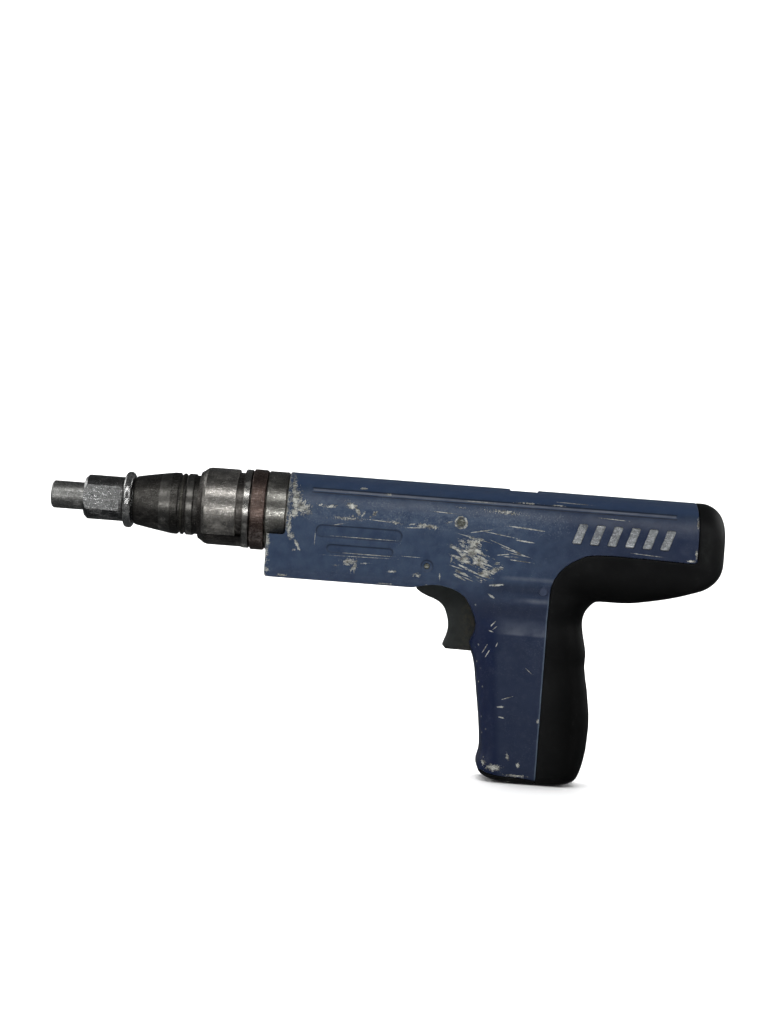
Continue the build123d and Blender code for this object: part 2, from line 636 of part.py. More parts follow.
# coil springs: name, axis start, direction, length, mean radius, wire radius, coils
for name, start, direction, length, mean_r, wire_r, coils in (
    ("striker_spring", (264.1, 0, 0), (1, 0, 0), 50.8, 12.4, 0.9, 9),
    ("safety_spring", (158.9, safe_y, safe_z), (1, 0, 0), 26.4, 2.9, 0.4, 9),
    ("trigger_spring", (219.8, 0, -44.0), (1, 0, 0), 10.0, 2.6, 0.4, 4),
    ("sear_spring", (256.6, 0, -42.3), (0, 0, 1), 7.7, 2.2, 0.35, 4),
    ("pawl_spring", (143.5, 0, -29.9), (0, 0, 1), 4.9, 2.1, 0.35, 3),
    ("advance_spring", (253.3, 0, -50.8), (1, 0, 0), 4.2, 1.8, 0.3, 3),
):
    with BuildPart() as spring:
        with BuildLine() as path:
            Helix(pitch=length / coils, height=length, radius=mean_r, center=start, direction=direction)
        with BuildSketch(Plane(origin=path.line @ 0, z_dir=path.line % 0)):
            Circle(wire_r)
        sweep(path=path.line, is_frenet=True)
    spring.part.label = name
    print(name, spring.part.is_valid, round(spring.part.volume, 1))
    export_step(spring.part, f"parts/{name}.step")

# ---- trigger group ---------------------------------------------------------
with BuildPart() as trigger:
    with BuildSketch(Plane.XZ) as s:
        with BuildLine():
            Spline(
                (187.3, -33.6), (189.6, -35.3), (194.6, -37.4), (198.3, -38.9), (201.5, -41.6), (203.9, -46.5), (204.8, -51.1), (204.2, -56.2),
                (203.0, -59.6), (202.6, -61.2),
            )
            Polyline(
                (202.6, -61.2), (204.0, -62.6), (216.5, -62.8), (218.6, -60.5), (219.2, -50.0), (218.8, -40.0), (218.2, -31.8), (215.5, -30.2),
                (208.0, -27.8), (198.0, -22.6), (193.6, -19.6), (191.3, -18.85), (188.8, -19.8), (187.9, -22.0), (187.3, -33.6),
            )
        make_face()
        with Locations((trig_x, trig_z)):
            Circle(1.55, mode=Mode.SUBTRACT)
    extrude(amount=trig_hw, both=True)
    fillet(trigger.edges().filter_by(lambda e: abs(abs(e.center().Y) - trig_hw) < 0.01 and e.center().Z < -34 and e.center().X < 212), 1.4)
trigger.part.label = "trigger"
print("trigger", trigger.part.is_valid)
export_step(trigger.part, "parts/trigger.step")

with BuildPart() as trigger_pin:
    with BuildSketch(Plane.XZ):
        with Locations((trig_x, trig_z)):
            Circle(1.5)
    extrude(amount=18.5, both=True)
    chamfer(trigger_pin.edges().filter_by(GeomType.CIRCLE), 0.3)
trigger_pin.part.label = "trigger_pin"
export_step(trigger_pin.part, "parts/trigger_pin.step")

# sear: two arms that straddle the load strip, joined at both ends, with the nose at the back
with BuildPart() as sear:
    with BuildSketch(Plane.XZ) as s:
        with BuildLine():
            Polyline(
                (213.5, -29.4), (213.5, -26.5), (222.0, -26.2), (246.5, -25.6), (259.0, -27.0), (259.0, -34.0), (246.5, -34.0), (228.0, -31.4),
                (221.0, -29.4), (213.5, -29.4),
            )
        make_face()
        with Locations((sear_x, sear_z)):
            Circle(2.05, mode=Mode.SUBTRACT)
    extrude(amount=8.6, both=True)
    with BuildSketch(Plane.XY.offset(-40.0)):
        with Locations((217.6, 0)):
            Rectangle(28.9, 12.8, align=(Align.MIN, Align.CENTER))
    extrude(amount=20.0, mode=Mode.SUBTRACT)
    with BuildSketch(Plane.XZ) as s:
        with BuildLine():
            Polyline((251.8, -28.5), (252.2, -12.4), (253.2, -11.5), (255.3, -11.5), (256.2, -28.5), (251.8, -28.5))
        make_face()
    extrude(amount=3.0, both=True)
    # the pin's hole stays clear
    with BuildSketch(Plane.XZ):
        with Locations((sear_x, sear_z)):
            Circle(2.05)
    extrude(amount=20.0, both=True, mode=Mode.SUBTRACT)
sear.part.label = "sear"
export_step(sear.part, "parts/sear.step")

with BuildPart() as sear_pin:
    with BuildSketch(Plane.XZ):
        with Locations((sear_x, sear_z)):
            Circle(2.0)
    extrude(amount=18.6, both=True)
sear_pin.part.label = "sear_pin"
export_step(sear_pin.part, "parts/sear_pin.step")

# ---- load strip guide with its lever ---------------------------------------
with BuildPart() as strip_guide:
    with BuildSketch(Plane.XY.offset(-120.4)):
        with Locations((238.0, 0)):
            Rectangle(15.0, 11.6)
            Rectangle(12.0, 2 * strip_hw, mode=Mode.SUBTRACT)
    extrude(amount=120.4 - 19.4)
    # shelf under the sear spring
    with BuildSketch(Plane.XY.offset(-45.0)):
        with Locations((244.8, 0)):
            Rectangle(15.0, 8.0, align=(Align.MIN, Align.CENTER))
    extrude(amount=2.2)
    # cage of the advance lever
    with BuildSketch(Plane.XZ) as s:
        with BuildLine():
            Polyline((245.0, -64.0), (260.0, -64.0), (260.0, -47.2), (245.0, -47.2), (245.0, -64.0))
        make_face()
    extrude(amount=5.8, both=True)
    with BuildSketch(Plane.XY.offset(-66.0)):
        with Locations((245.5, 0)):
            Rectangle(12.6, 8.6, align=(Align.MIN, Align.CENTER))
    extrude(amount=19.6, mode=Mode.SUBTRACT)
    # window for the lever's tooth
    with BuildSketch(Plane.YZ.offset(243.0)):
        with Locations((0, -49.1)):
            Rectangle(5.0, 4.6)
    extrude(amount=4.0, mode=Mode.SUBTRACT)
    with BuildSketch(Plane.XZ):
        with Locations((250.5, -60.0)):
            Circle(1.5)
    extrude(amount=10.0, both=True, mode=Mode.SUBTRACT)
strip_guide.part.label = "strip_guide"
print("strip_guide", strip_guide.part.is_valid, len(strip_guide.part.solids()))
export_step(strip_guide.part, "parts/strip_guide.step")

with BuildPart() as advance_lever:
    with BuildSketch(Plane.XZ) as s:
        with BuildLine():
            Polyline((247.6, -61.5), (249.0, -63.0), (252.0, -63.0), (253.4, -61.5), (252.0, -48.4), (247.6, -48.2), (243.4, -48.4), (243.4, -49.6), (247.2, -50.6), (247.6, -61.5))
        make_face()
        with Locations((250.5, -60.0)):
            Circle(1.55, mode=Mode.SUBTRACT)
    extrude(amount=2.0, both=True)
advance_lever.part.label = "advance_lever"
export_step(advance_lever.part, "parts/advance_lever.step")

with BuildPart() as lever_pin:
    with BuildSketch(Plane.XZ):
        with Locations((250.5, -60.0)):
            Circle(1.5)
    extrude(amount=5.8, both=True)
lever_pin.part.label = "lever_pin"
export_step(lever_pin.part, "parts/lever_pin.step")

# ---- pawl -------------------------------------------------------------------
with BuildPart() as piston_pawl:
    with BuildSketch(Plane.XY.offset(-24.4)):
        with Locations((143.5, 0)):
            Rectangle(5.0, 6.2)
    extrude(amount=24.4 - 8.3)
    chamfer(piston_pawl.faces().sort_by(Axis.Z)[-1].edges().sort_by(Axis.X)[0], 1.5)
piston_pawl.part.label = "piston_pawl"
export_step(piston_pawl.part, "parts/piston_pawl.step")

with BuildPart() as pawl_plug:
    with BuildSketch(Plane.XY.offset(-32.8)):
        with Locations((143.5, 0)):
            Circle(4.5)
    extrude(amount=2.3)
    with BuildSketch(Plane.XY.offset(-33.0)):
        with Locations((143.5, 0)):
            Rectangle(6.4, 1.2)
    extrude(amount=1.2, mode=Mode.SUBTRACT)
pawl_plug.part.label = "pawl_plug"
export_step(pawl_plug.part, "parts/pawl_plug.step")

# ---- safety slider -----------------------------------------------------------
with BuildPart() as safety_slider:
    with BuildSketch(Plane.YZ.offset(150.0)):
        with Locations((safe_y, safe_z)):
            Circle(3.95)
    extrude(amount=8.0)
    with BuildSketch(Plane(origin=(152.0, 0, 0), x_dir=(1, 0, 0), z_dir=safe_dir).offset(14.0)):
        Rectangle(4.0, 4.4)
    extrude(amount=12.0)
    with BuildSketch(Plane.YZ.offset(140.0)):
        with Locations((safe_y, safe_z)):
            Circle(1.5)
    extrude(amount=30.0, mode=Mode.SUBTRACT)
safety_slider.part.label = "safety_slider"
export_step(safety_slider.part, "parts/safety_slider.step")

with BuildPart() as spring_guide:
    with BuildSketch(Plane.YZ.offset(111.6)):
        with Locations((safe_y, safe_z)):
            Circle(4.25)
    extrude(amount=4.0)
    with BuildSketch(Plane.YZ.offset(115.0)):
        with Locations((safe_y, safe_z)):
            Circle(1.15)
    extrude(amount=70.8)
    with BuildSketch(Plane.YZ.offset(111.0)):
        with Locations((safe_y, safe_z)):
            Rectangle(6.4, 1.1)
    extrude(amount=1.6, mode=Mode.SUBTRACT)
spring_guide.part.label = "spring_guide"
export_step(spring_guide.part, "parts/spring_guide.step")

# ---- screws --------------------------------------------------------------------
with BuildPart() as housing_screws:
    for side in (-1, 1):
        with BuildSketch(Plane(origin=(206.6, side * 18.35, 1.2), x_dir=(1, 0, 0), z_dir=(0, side, 0))):
            Circle(2.0)
        extrude(amount=1.5)
        with BuildSketch(Plane(origin=(206.6, side * 19.2, 1.2), x_dir=(1, 0, 0), z_dir=(0, side, 0))):
            RegularPolygon(1.0, 6)
        extrude(amount=2.0, mode=Mode.SUBTRACT)
housing_screws.part.label = "housing_screws"
export_step(housing_screws.part, "parts/housing_screws.step")

with BuildPart() as cover_screws:
    with BuildSketch(Plane.YZ.offset(318.1)):
        Circle(1.95)
    extrude(amount=19.2)
    with BuildSketch(Plane.YZ.offset(337.25)):
        Circle(3.8)
    extrude(amount=2.2)
    with BuildSketch(Plane.YZ.offset(338.2)):
        RegularPolygon(1.7, 6)
    extrude(amount=3.0, mode=Mode.SUBTRACT)
    with BuildSketch(Plane.YZ.offset(246.0)):
        with Locations((0, -104.0)):
            Circle(1.6)
    extrude(amount=29.3)
    with BuildSketch(Plane.YZ.offset(275.25)):
        with Locations((0, -104.0)):
            Circle(3.1)
    extrude(amount=2.0)
    with BuildSketch(Plane.YZ.offset(276.2)):
        with Locations((0, -104.0)):
            RegularPolygon(1.4, 6)
    extrude(amount=3.0, mode=Mode.SUBTRACT)
cover_screws.part.label = "cover_screws"
print("cover_screws", len(cover_screws.part.solids()))
export_step(cover_screws.part, "parts/cover_screws.step")

with BuildPart() as base_screws:
    with BuildSketch(Plane.XY.offset(-126.2)):
        with Locations((240.0, -13.0), (240.0, 13.0)):
            Circle(1.25)
    extrude(amount=9.0)
    with BuildSketch(Plane.XY.offset(-127.0)):
        with Locations((240.0, -13.0), (240.0, 13.0)):
            Rectangle(2.0, 0.5)
    extrude(amount=1.4, mode=Mode.SUBTRACT)
base_screws.part.label = "base_screws"
export_step(base_screws.part, "parts/base_screws.step")
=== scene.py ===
import math
import random
import bpy
import bmesh
from mathutils import Vector, Matrix


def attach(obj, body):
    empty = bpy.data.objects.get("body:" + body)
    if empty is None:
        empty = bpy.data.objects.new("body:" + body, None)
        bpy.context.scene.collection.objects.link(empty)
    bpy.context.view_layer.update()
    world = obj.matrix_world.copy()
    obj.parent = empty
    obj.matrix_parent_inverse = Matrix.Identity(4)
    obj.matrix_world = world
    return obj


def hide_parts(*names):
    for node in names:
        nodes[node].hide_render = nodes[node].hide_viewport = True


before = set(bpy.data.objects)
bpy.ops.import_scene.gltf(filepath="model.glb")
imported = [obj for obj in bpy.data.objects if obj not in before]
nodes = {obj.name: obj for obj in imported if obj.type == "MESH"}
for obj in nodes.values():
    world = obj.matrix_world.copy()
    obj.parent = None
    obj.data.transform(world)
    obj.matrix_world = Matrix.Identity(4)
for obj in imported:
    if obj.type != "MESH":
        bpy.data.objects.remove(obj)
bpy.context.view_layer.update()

random.seed(7)
S = 0.001


# ---------------------------------------------------------------- mesh tools
def link(obj):
    bpy.context.scene.collection.objects.link(obj)
    return obj


def mesh_obj(name, verts, faces):
    me = bpy.data.meshes.new(name)
    me.from_pydata(verts, [], faces)
    me.validate()
    ob = link(bpy.data.objects.new(name, me))
    bm = bmesh.new()
    bm.from_mesh(me)
    bmesh.ops.recalc_face_normals(bm, faces=bm.faces)
    bm.to_mesh(me)
    bm.free()
    return ob


def rings(name, ring_list):
    """Closed solid through rings that all have the same number of points."""
    n = len(ring_list[0])
    verts = [p for r in ring_list for p in r]
    faces = []
    for i in range(len(ring_list) - 1):
        for k in range(n):
            a, b = i * n + k, i * n + (k + 1) % n
            faces.append((a, b, b + n, a + n))
    faces.append(tuple(range(n))[::-1])
    faces.append(tuple((len(ring_list) - 1) * n + k for k in range(n)))
    return mesh_obj(name, verts, faces)


def prism_xz(name, pts, y0, y1):
    return rings(name, [[(x, y0, z) for x, z in pts], [(x, y1, z) for x, z in pts]])


def prism_xy(name, pts, z0, z1):
    return rings(name, [[(x, y, z0) for x, y in pts], [(x, y, z1) for x, y in pts]])


def cyl(name, r, a, b, n=64):
    a, b = Vector(a), Vector(b)
    d = (b - a).normalized()
    u = d.orthogonal().normalized()
    v = d.cross(u)
    def ring(c):
        return [tuple(c + r * (math.cos(t) * u + math.sin(t) * v)) for t in (2 * math.pi * k / n for k in range(n))]
    return rings(name, [ring(a), ring(b)])


def box_pts(x0, x1, y0, y1):
    return [(x0, y0), (x1, y0), (x1, y1), (x0, y1)]


def apply_mods(ob):
    bpy.context.view_layer.update()
    dg = bpy.context.evaluated_depsgraph_get()
    me = bpy.data.meshes.new_from_object(ob.evaluated_get(dg))
    ob.modifiers.clear()
    old = ob.data
    ob.data = me
    if old.users == 0:
        bpy.data.meshes.remove(old)


def drop(ob):
    me = ob.data
    bpy.data.objects.remove(ob)
    if me.users == 0:
        bpy.data.meshes.remove(me)


def boolean(ob, others, op="DIFFERENCE"):
    for o in others:
        m = ob.modifiers.new("b", "BOOLEAN")
        m.operation = op
        m.solver = "MANIFOLD"
        m.object = o
    apply_mods(ob)
    for o in others:
        drop(o)


def join(name, obs):
    bm = bmesh.new()
    for o in obs:
        bm.from_mesh(o.data)
    me = bpy.data.meshes.new(name)
    bm.to_mesh(me)
    bm.free()
    for o in obs:
        drop(o)
    return link(bpy.data.objects.new(name, me))


def remesh(ob, voxel):
    m = ob.modifiers.new("r", "REMESH")
    m.mode = "VOXEL"
    m.voxel_size = voxel
    m.use_smooth_shade = True
    apply_mods(ob)


def smooth(ob, factor, times, weight=None):
    if weight:
        g = ob.vertex_groups.new(name="w")
        for v in ob.data.vertices:
            w = weight(v.co)
            if w > 0.0:
                g.add([v.index], w, "REPLACE")
    m = ob.modifiers.new("s", "SMOOTH")
    m.factor = factor
    m.iterations = times
    if weight:
        m.vertex_group = "w"
    apply_mods(ob)
    ob.vertex_groups.clear()


def decimate(ob, ratio):
    m = ob.modifiers.new("d", "DECIMATE")
    m.ratio = ratio
    apply_mods(ob)


def to_metres(ob):
    ob.data.transform(Matrix.Diagonal((S, S, S, 1.0)))
    ob.data.update()


def shade(ob, angle=40.0):
    for p in ob.data.polygons:
        p.use_smooth = True
    ob.data.set_sharp_from_angle(angle=math.radians(angle))


def lerp_table(table, t):
    if t <= table[0][0]:
        return table[0][1]
    for (a, va), (b, vb) in zip(table, table[1:]):
        if t <= b:
            f = (t - a) / (b - a)
            f = f * f * (3 - 2 * f) if len(table) < 0 else f
            return va + (vb - va) * f
    return table[-1][1]


def spline_pts(pts, per=6):
    """Catmull-Rom through the points."""
    out = []
    p = [pts[0]] + list(pts) + [pts[-1]]
    for i in range(1, len(p) - 2):
        for k in range(per):
            t = k / per
            a, b, c, d = p[i - 1], p[i], p[i + 1], p[i + 2]
            out.append(tuple(
                0.5 * ((2 * b[j]) + (-a[j] + c[j]) * t + (2 * a[j] - 5 * b[j] + 4 * c[j] - d[j]) * t * t + (-a[j] + 3 * b[j] - 3 * c[j] + d[j]) * t ** 3)
                for j in range(2)))
    out.append(tuple(pts[-1]))
    return out


# ------------------------------------------------------------- outer casing
BR = 20.3
UNDER = [(286, -33.0), (294, -32.6), (303, -31.1), (312, -29.2), (320, -27.0), (330, -23.6), (340, -19.8)]
FRONT = [(-30, 205.0), (-42, 210.5), (-54, 214.2), (-63, 217.1), (-66, 218.5), (-69, 219.3), (-72, 220.0), (-78, 220.9), (-84, 221.8), (-90, 222.8),
         (-96, 223.7), (-102, 224.5), (-108, 225.1), (-111, 225.3), (-114, 224.9), (-117, 224.1), (-120, 224.1), (-123, 225.5), (-124.6, 227.6), (-125.8, 231.0), (-126.5, 236.0)]
REAR = [(-26, 284.0), (-30, 280.0), (-33, 277.4), (-35.5, 275.0), (-38, 273.0), (-42, 271.9), (-45, 271.9), (-51, 272.9), (-57, 274.3), (-61, 274.9), (-66, 274.6), (-72, 275.6),
        (-78, 276.9), (-84, 277.8), (-90, 278.7), (-96, 279.05), (-102, 278.8), (-108, 278.4), (-114, 277.4), (-117, 276.7), (-120, 275.8), (-123, 274.5), (-125, 272.4), (-126, 269.0), (-126.5, 264.0)]
HALF = [(-24, 17.6), (-30, 18.2), (-34, 18.6), (-37, 18.0), (-41, 16.5), (-45, 15.7), (-48, 15.9), (-51, 16.5), (-56, 16.7), (-64, 16.4), (-80, 16.0), (-100, 16.0), (-112, 16.5), (-120, 16.8),
        (-124, 16.4), (-125.8, 15.0), (-126.5, 12.5)]


def arc_pts(cy, cz, r, a0, a1, n):
    return [(cy + r * math.cos(a0 + (a1 - a0) * k / n), cz + r * math.sin(a0 + (a1 - a0) * k / n)) for k in range(n + 1)]


def body_ring(x):
    rc = 12.0
    inset = 0.0
    if x > 340.0 - rc:
        d = min(x - (340.0 - rc), rc - 0.02)
        inset = rc - math.sqrt(rc * rc - d * d)
    r = BR - inset
    zb = lerp_table([(a, b) for a, b in spline_pts(UNDER, 6)], x) + inset * 0.75
    hl = 19.0 + (zb + 33.0) * 0.035 - inset * 0.95
    c = max(2.0, 5.2 - inset * 0.2)
    # round top, straight sides, rounded lower corners
    pts = arc_pts(0, 0, r, math.pi, 0.0, 40)
    pts += [(r + (hl - r) * t, zb * t + 0.0) for t in (0.15, 0.3, 0.45, 0.6, 0.72)]
    pts += arc_pts(hl - c, zb + c, c, 0.0, -math.pi / 2, 8)
    pts += [(-p[0], p[1]) for p in arc_pts(hl - c, zb + c, c, 0.0, -math.pi / 2, 8)[::-1]]
    pts += [(-(r + (hl - r) * t), zb * t) for t in (0.72, 0.6, 0.45, 0.3, 0.15)]
    return [(x, y, z) for y, z in pts]


def grip_ring(z):
    xf, xr, hw = lerp_table([(-a, b) for a, b in FRONT], -z), lerp_table([(-a, b) for a, b in REAR], -z), lerp_table([(-a, b) for a, b in HALF], -z)
    rf, rr = min(8.5, hw - 3), min(11.0, hw - 2)
    pts = []
    e = 1.0
    for cx, cy, r, a0 in ((xf + rf, -hw + rf, rf, math.pi), (xr - rr, -hw + rr, rr, -math.pi / 2), (xr - rr, hw - rr, rr, 0.0), (xf + rf, hw - rf, rf, math.pi / 2)):
        for k in range(11):
            a = a0 + (math.pi / 2) * k / 10
            pts.append((cx + r * math.cos(a), cy + r * math.sin(a), z))
    return pts


def casing():
    xs = [110.6 + 3.0 * k for k in range(59)] + [288 + 2.0 * k for k in range(20)] + [328.5 + 0.75 * k for k in range(15)] + [339.6, 339.9, 340.0]
    body = rings("c_body", [body_ring(x) for x in sorted(set(xs)) if x <= 340.0])
    zs = [-24 - 1.5 * k for k in range(67)] + [-124.9, -125.4, -125.9, -126.2, -126.5]
    grip = rings("c_grip", [grip_ring(z) for z in sorted(set(zs), reverse=True)])
    ob = join("casing", [body, grip])
    remesh(ob, 0.9)

    def junction(co):
        if co.x < 196 or co.x > 292 or co.z > -22 or co.z < -58:
            return 0.0
        a = min(1.0, (co.x - 196) / 8) * min(1.0, (292 - co.x) / 8)
        b = min(1.0, (-22 - co.z) / 6) * min(1.0, (co.z + 58) / 8)
        return a * b

    smooth(ob, 0.5, 22, junction)
    smooth(ob, 0.5, 2)
    return ob


CUT = [(182.0, -36.0), (184.0, -33.1), (186.6, -32.5), (190.0, -31.5), (194.1, -30.7), (199.1, -30.6), (204.3, -31.8), (208.5, -33.5), (211.7, -35.8), (214.6, -40.1),
       (217.0, -45.0), (218.0, -48.9), (217.6, -52.6), (216.3, -55.8), (215.5, -58.6), (216.0, -61.4), (217.2, -63.2)]
SEAM = [(325.0, 26.0), (325.0, -8.6), (324.6, -9.6), (323.8, -10.1), (322.4, -10.3), (304.3, -9.8), (284.0, -9.5), (276.0, -9.7), (272.0, -10.2), (268.8, -11.1), (263.5, -13.9),
        (259.6, -16.9), (256.8, -20.1), (254.8, -23.6), (253.7, -27.0), (253.3, -32.0), (253.3, -131.0)]
BASE = [(215.0, -120.2), (224.8, -120.7), (230.0, -122.5), (237.0, -123.2), (247.0, -123.6), (254.0, -124.4)]
GAP = 0.18


def seam_poly(off):
    return [(x + off, z - off * 0.8) for x, z in SEAM] + [(362.0, -131.0), (362.0, 26.0)]


def radial_prism(name, x0, x1, ang, r0, r1, half, side):
    """Bar along X standing out of the round body at an angle above the horizontal."""
    c, s = math.cos(ang), math.sin(ang)
    quad = [(r0 * c - -s * half, r0 * s - c * half), (r0 * c + -s * half, r0 * s + c * half), (r1 * c + -s * half, r1 * s + c * half), (r1 * c - -s * half, r1 * s - c * half)]
    quad = [(side * y, z) for y, z in quad]
    return rings(name, [[(x0, y, z) for y, z in quad], [(x1, y, z) for y, z in quad]])


def pill(name, cx, cz, length, height, y0, y1):
    r = height / 2
    h = length / 2 - r
    pts = [(cx + h + r * math.cos(a), cz + r * math.sin(a)) for a in (-math.pi / 2 + math.pi * k / 12 for k in range(13))]
    pts += [(cx - h + r * math.cos(a), cz + r * math.sin(a)) for a in (math.pi / 2 + math.pi * k / 12 for k in range(13))]
    return prism_xz(name, pts, y0, y1)


def interior_cuts():
    c = []
    c.append(cyl("k1", 18.5, (90, 0, 0), (362, 0, 0), 128))
    c.append(prism_xz("k3", [(212.0, -20.2), (262.0, -20.2), (262.0, -140.0), (230.0, -140.0), (227.8, -117.0), (228.2, -108.0), (224.4, -80.0), (222.2, -68.0), (221.5, -52.0), (216.0, -36.0), (212.0, -33.0)], -12.4, 12.4))
    return c


def make_housing(cas):
    ob = link(bpy.data.objects.new("housing_shell", cas.data.copy()))
    boolean(ob, [
        prism_xz("a1", CUT + [(196.0, -63.2), (180.0, -50.0)], -40, 40),
        prism_xz("a2", seam_poly(0.0), -41, 41),
        prism_xz("a3", BASE + [(254.0, -140.0), (215.0, -140.0)], -42, 42),
        prism_xz("a4", [(90, 30), (119.8, 30), (119.8, -9.9), (119.3, -10.9), (118.2, -11.3), (90, -11.3)], -43, 43),
        cyl("a5", 20.5, (90, 0, 0), (119.8, 0, 0), 128),
    ])
    boolean(ob, interior_cuts())
    boolean(ob, [
        prism_xz("b1", [(187.6, -17.0), (231.0, -17.0), (231.0, -63.3), (200.0, -63.3), (186.0, -34.0), (186.0, -20.0)], -7.2, 7.2),
        prism_xy("b2", box_pts(230.4, 245.6, -5.9, 5.9), -26, -10),
        prism_xy("b3", box_pts(249.5, 262.5, -4.5, 4.5), -26.5, -10),
        prism_xy("b4", box_pts(230.8, 245.2, -5.5, 5.5), 10, 30),
        prism_xy("b5", box_pts(140.6, 146.4, -3.4, 3.4), -30.4, -14.4),
        cyl("b6", 4.6, (143.5, 0, -36), (143.5, 0, -30.4)),
        cyl("b7", 4.3, (95, 12, -25.5), (186, 12, -25.5)),
        cyl("b8", 1.5, (191.3, -40, -21.6), (191.3, 40, -21.6), 24),
        cyl("b9", 2.0, (250.0, -40, -30.0), (250.0, 40, -30.0), 24),
    ])
    fine = []
    for side in (-1, 1):
        fine.append(cyl("d1", 3.0, (191.3, side * 18.75, -21.6), (191.3, side * 26, -21.6), 40))
        fine.append(cyl("d2", 2.15, (206.6, side * 15, 1.2), (206.6, side * 26, 1.2), 32))
        fine.append(pill("d3", 156.5, -8.0, 42.8, 6.0, side * 19.1, side * 26))
        fine.append(pill("d4", 157.5, -16.4, 33.0, 4.0, side * 18.8, side * 26))
    boolean(ob, fine)
    ribs = [radial_prism("r", 132.3, 313.3, math.radians(35.8), 19.2, 20.75, 0.95, side) for side in (-1, 1)]
    grooves = [radial_prism("g", 131.5, 314.1, math.radians(a), 19.9, 21.5, 0.35, side) for side in (-1, 1) for a in (32.0, 39.6)]
    boolean(ob, grooves)
    boolean(ob, ribs, "UNION")
    remesh(ob, 0.42)
    smooth(ob, 0.5, 3)
    decimate(ob, 0.3)
    to_metres(ob)
    shade(ob, 60)
    return ob


def make_cover(cas):
    ob = link(bpy.data.objects.new("rear_cover_shell", cas.data.copy()))
    boolean(ob, [prism_xz("a", seam_poly(GAP), -41, 41)], "INTERSECT")
    boolean(ob, [
        cyl("b", 18.7, (240, 0, 0), (324.9, 0, 0), 96),
        cyl("c", 14.0, (320, 0, 0), (336, 0, 0), 96),
    ])
    boolean(ob, [
        prism_xz("d", [(248.0, -12.0), (318.0, -12.0), (318.0, -24.0), (306.0, -27.0), (294.0, -29.2), (280.0, -31.2), (272.0, -34.0), (248.0, -34.0)], -14.6, 14.6),
        prism_xz("e", [(247.0, -28.0), (272.0, -28.0), (269.0, -38.0), (268.8, -46.0), (270.4, -58.0), (272.6, -74.0), (275.2, -92.0), (274.8, -108.0), (272.2, -119.0), (270.0, -123.0), (247.0, -123.0)], -12.4, 12.4),
    ])
    boolean(ob, [cyl("f", 2.2, (320, 0, 0), (350, 0, 0), 32), cyl("g", 4.0, (337.2, 0, 0), (350, 0, 0), 48),
                 cyl("h", 1.7, (240, 0, -104), (290, 0, -104), 32), cyl("i", 3.3, (275.2, 0, -104), (290, 0, -104), 40)])
    # a step cut across the back of the grip
    boolean(ob, [prism_xz("s", [(274.35, -61.8), (276.5, -61.2), (280.0, -61.4), (280.0, -66.0), (274.9, -65.4)], -41, 41)])
    remesh(ob, 0.5)
    smooth(ob, 0.5, 3)
    decimate(ob, 0.35)
    to_metres(ob)
    shade(ob, 60)
    return ob


def make_base(cas):
    ob = link(bpy.data.objects.new("base_plate_shell", cas.data.copy()))
    low = [(x, z - GAP) for x, z in BASE[:-1]] + [(253.1, -124.5), (253.1, -140.0), (215.0, -140.0)]
    boolean(ob, [prism_xz("a", low, -41, 41)], "INTERSECT")
    boolean(ob, [prism_xy("b", box_pts(232.0, 244.0, -4.4, 4.4), -140, -110), cyl("c", 1.3, (240, -13, -140), (240, -13, -110), 24), cyl("d", 1.3, (240, 13, -140), (240, 13, -110), 24)])
    remesh(ob, 0.35)
    smooth(ob, 0.5, 2)
    decimate(ob, 0.5)
    to_metres(ob)
    shade(ob, 60)
    return ob


cas = casing()
housing = make_housing(cas)
cover = make_cover(cas)
base = make_base(cas)
drop(cas)
for ob, node in ((housing, "housing"), (cover, "rear_cover"), (base, "grip_base_plate")):
    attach(ob, "root")
    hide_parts(node)


def lathe(name, body, node, profile, seg=180):
    """A closed profile of (x, r) in millimetres turned round the barrel's axis."""
    bm = bmesh.new()
    rows = []
    for k in range(seg):
        t = 2 * math.pi * k / seg
        rows.append([bm.verts.new((px_ * S, r * math.cos(t) * S, r * math.sin(t) * S)) for px_, r in profile])
    for k in range(seg):
        a, b = rows[k], rows[(k + 1) % seg]
        for j in range(len(profile)):
            bm.faces.new((a[j], a[(j + 1) % len(profile)], b[(j + 1) % len(profile)], b[j]))
    bmesh.ops.recalc_face_normals(bm, faces=bm.faces)
    me = bpy.data.meshes.new(name)
    bm.to_mesh(me)
    bm.free()
    ob = link(bpy.data.objects.new(name, me))
    shade(ob, 35)
    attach(ob, body)
    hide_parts(node)
    return ob


def rounded(x0, x1, r0, r1, f, n=9):
    """Ring section with its two outer corners rounded by f."""
    out = [(x0, r0)]
    out += [(x0 + f - f * math.cos(math.pi / 2 * k / n), r1 - f + f * math.sin(math.pi / 2 * k / n)) for k in range(n + 1)]
    out += [(x1 - f + f * math.sin(math.pi / 2 * k / n), r1 - f + f * math.cos(math.pi / 2 * k / n)) for k in range(n + 1)]
    return out + [(x1, r0)]


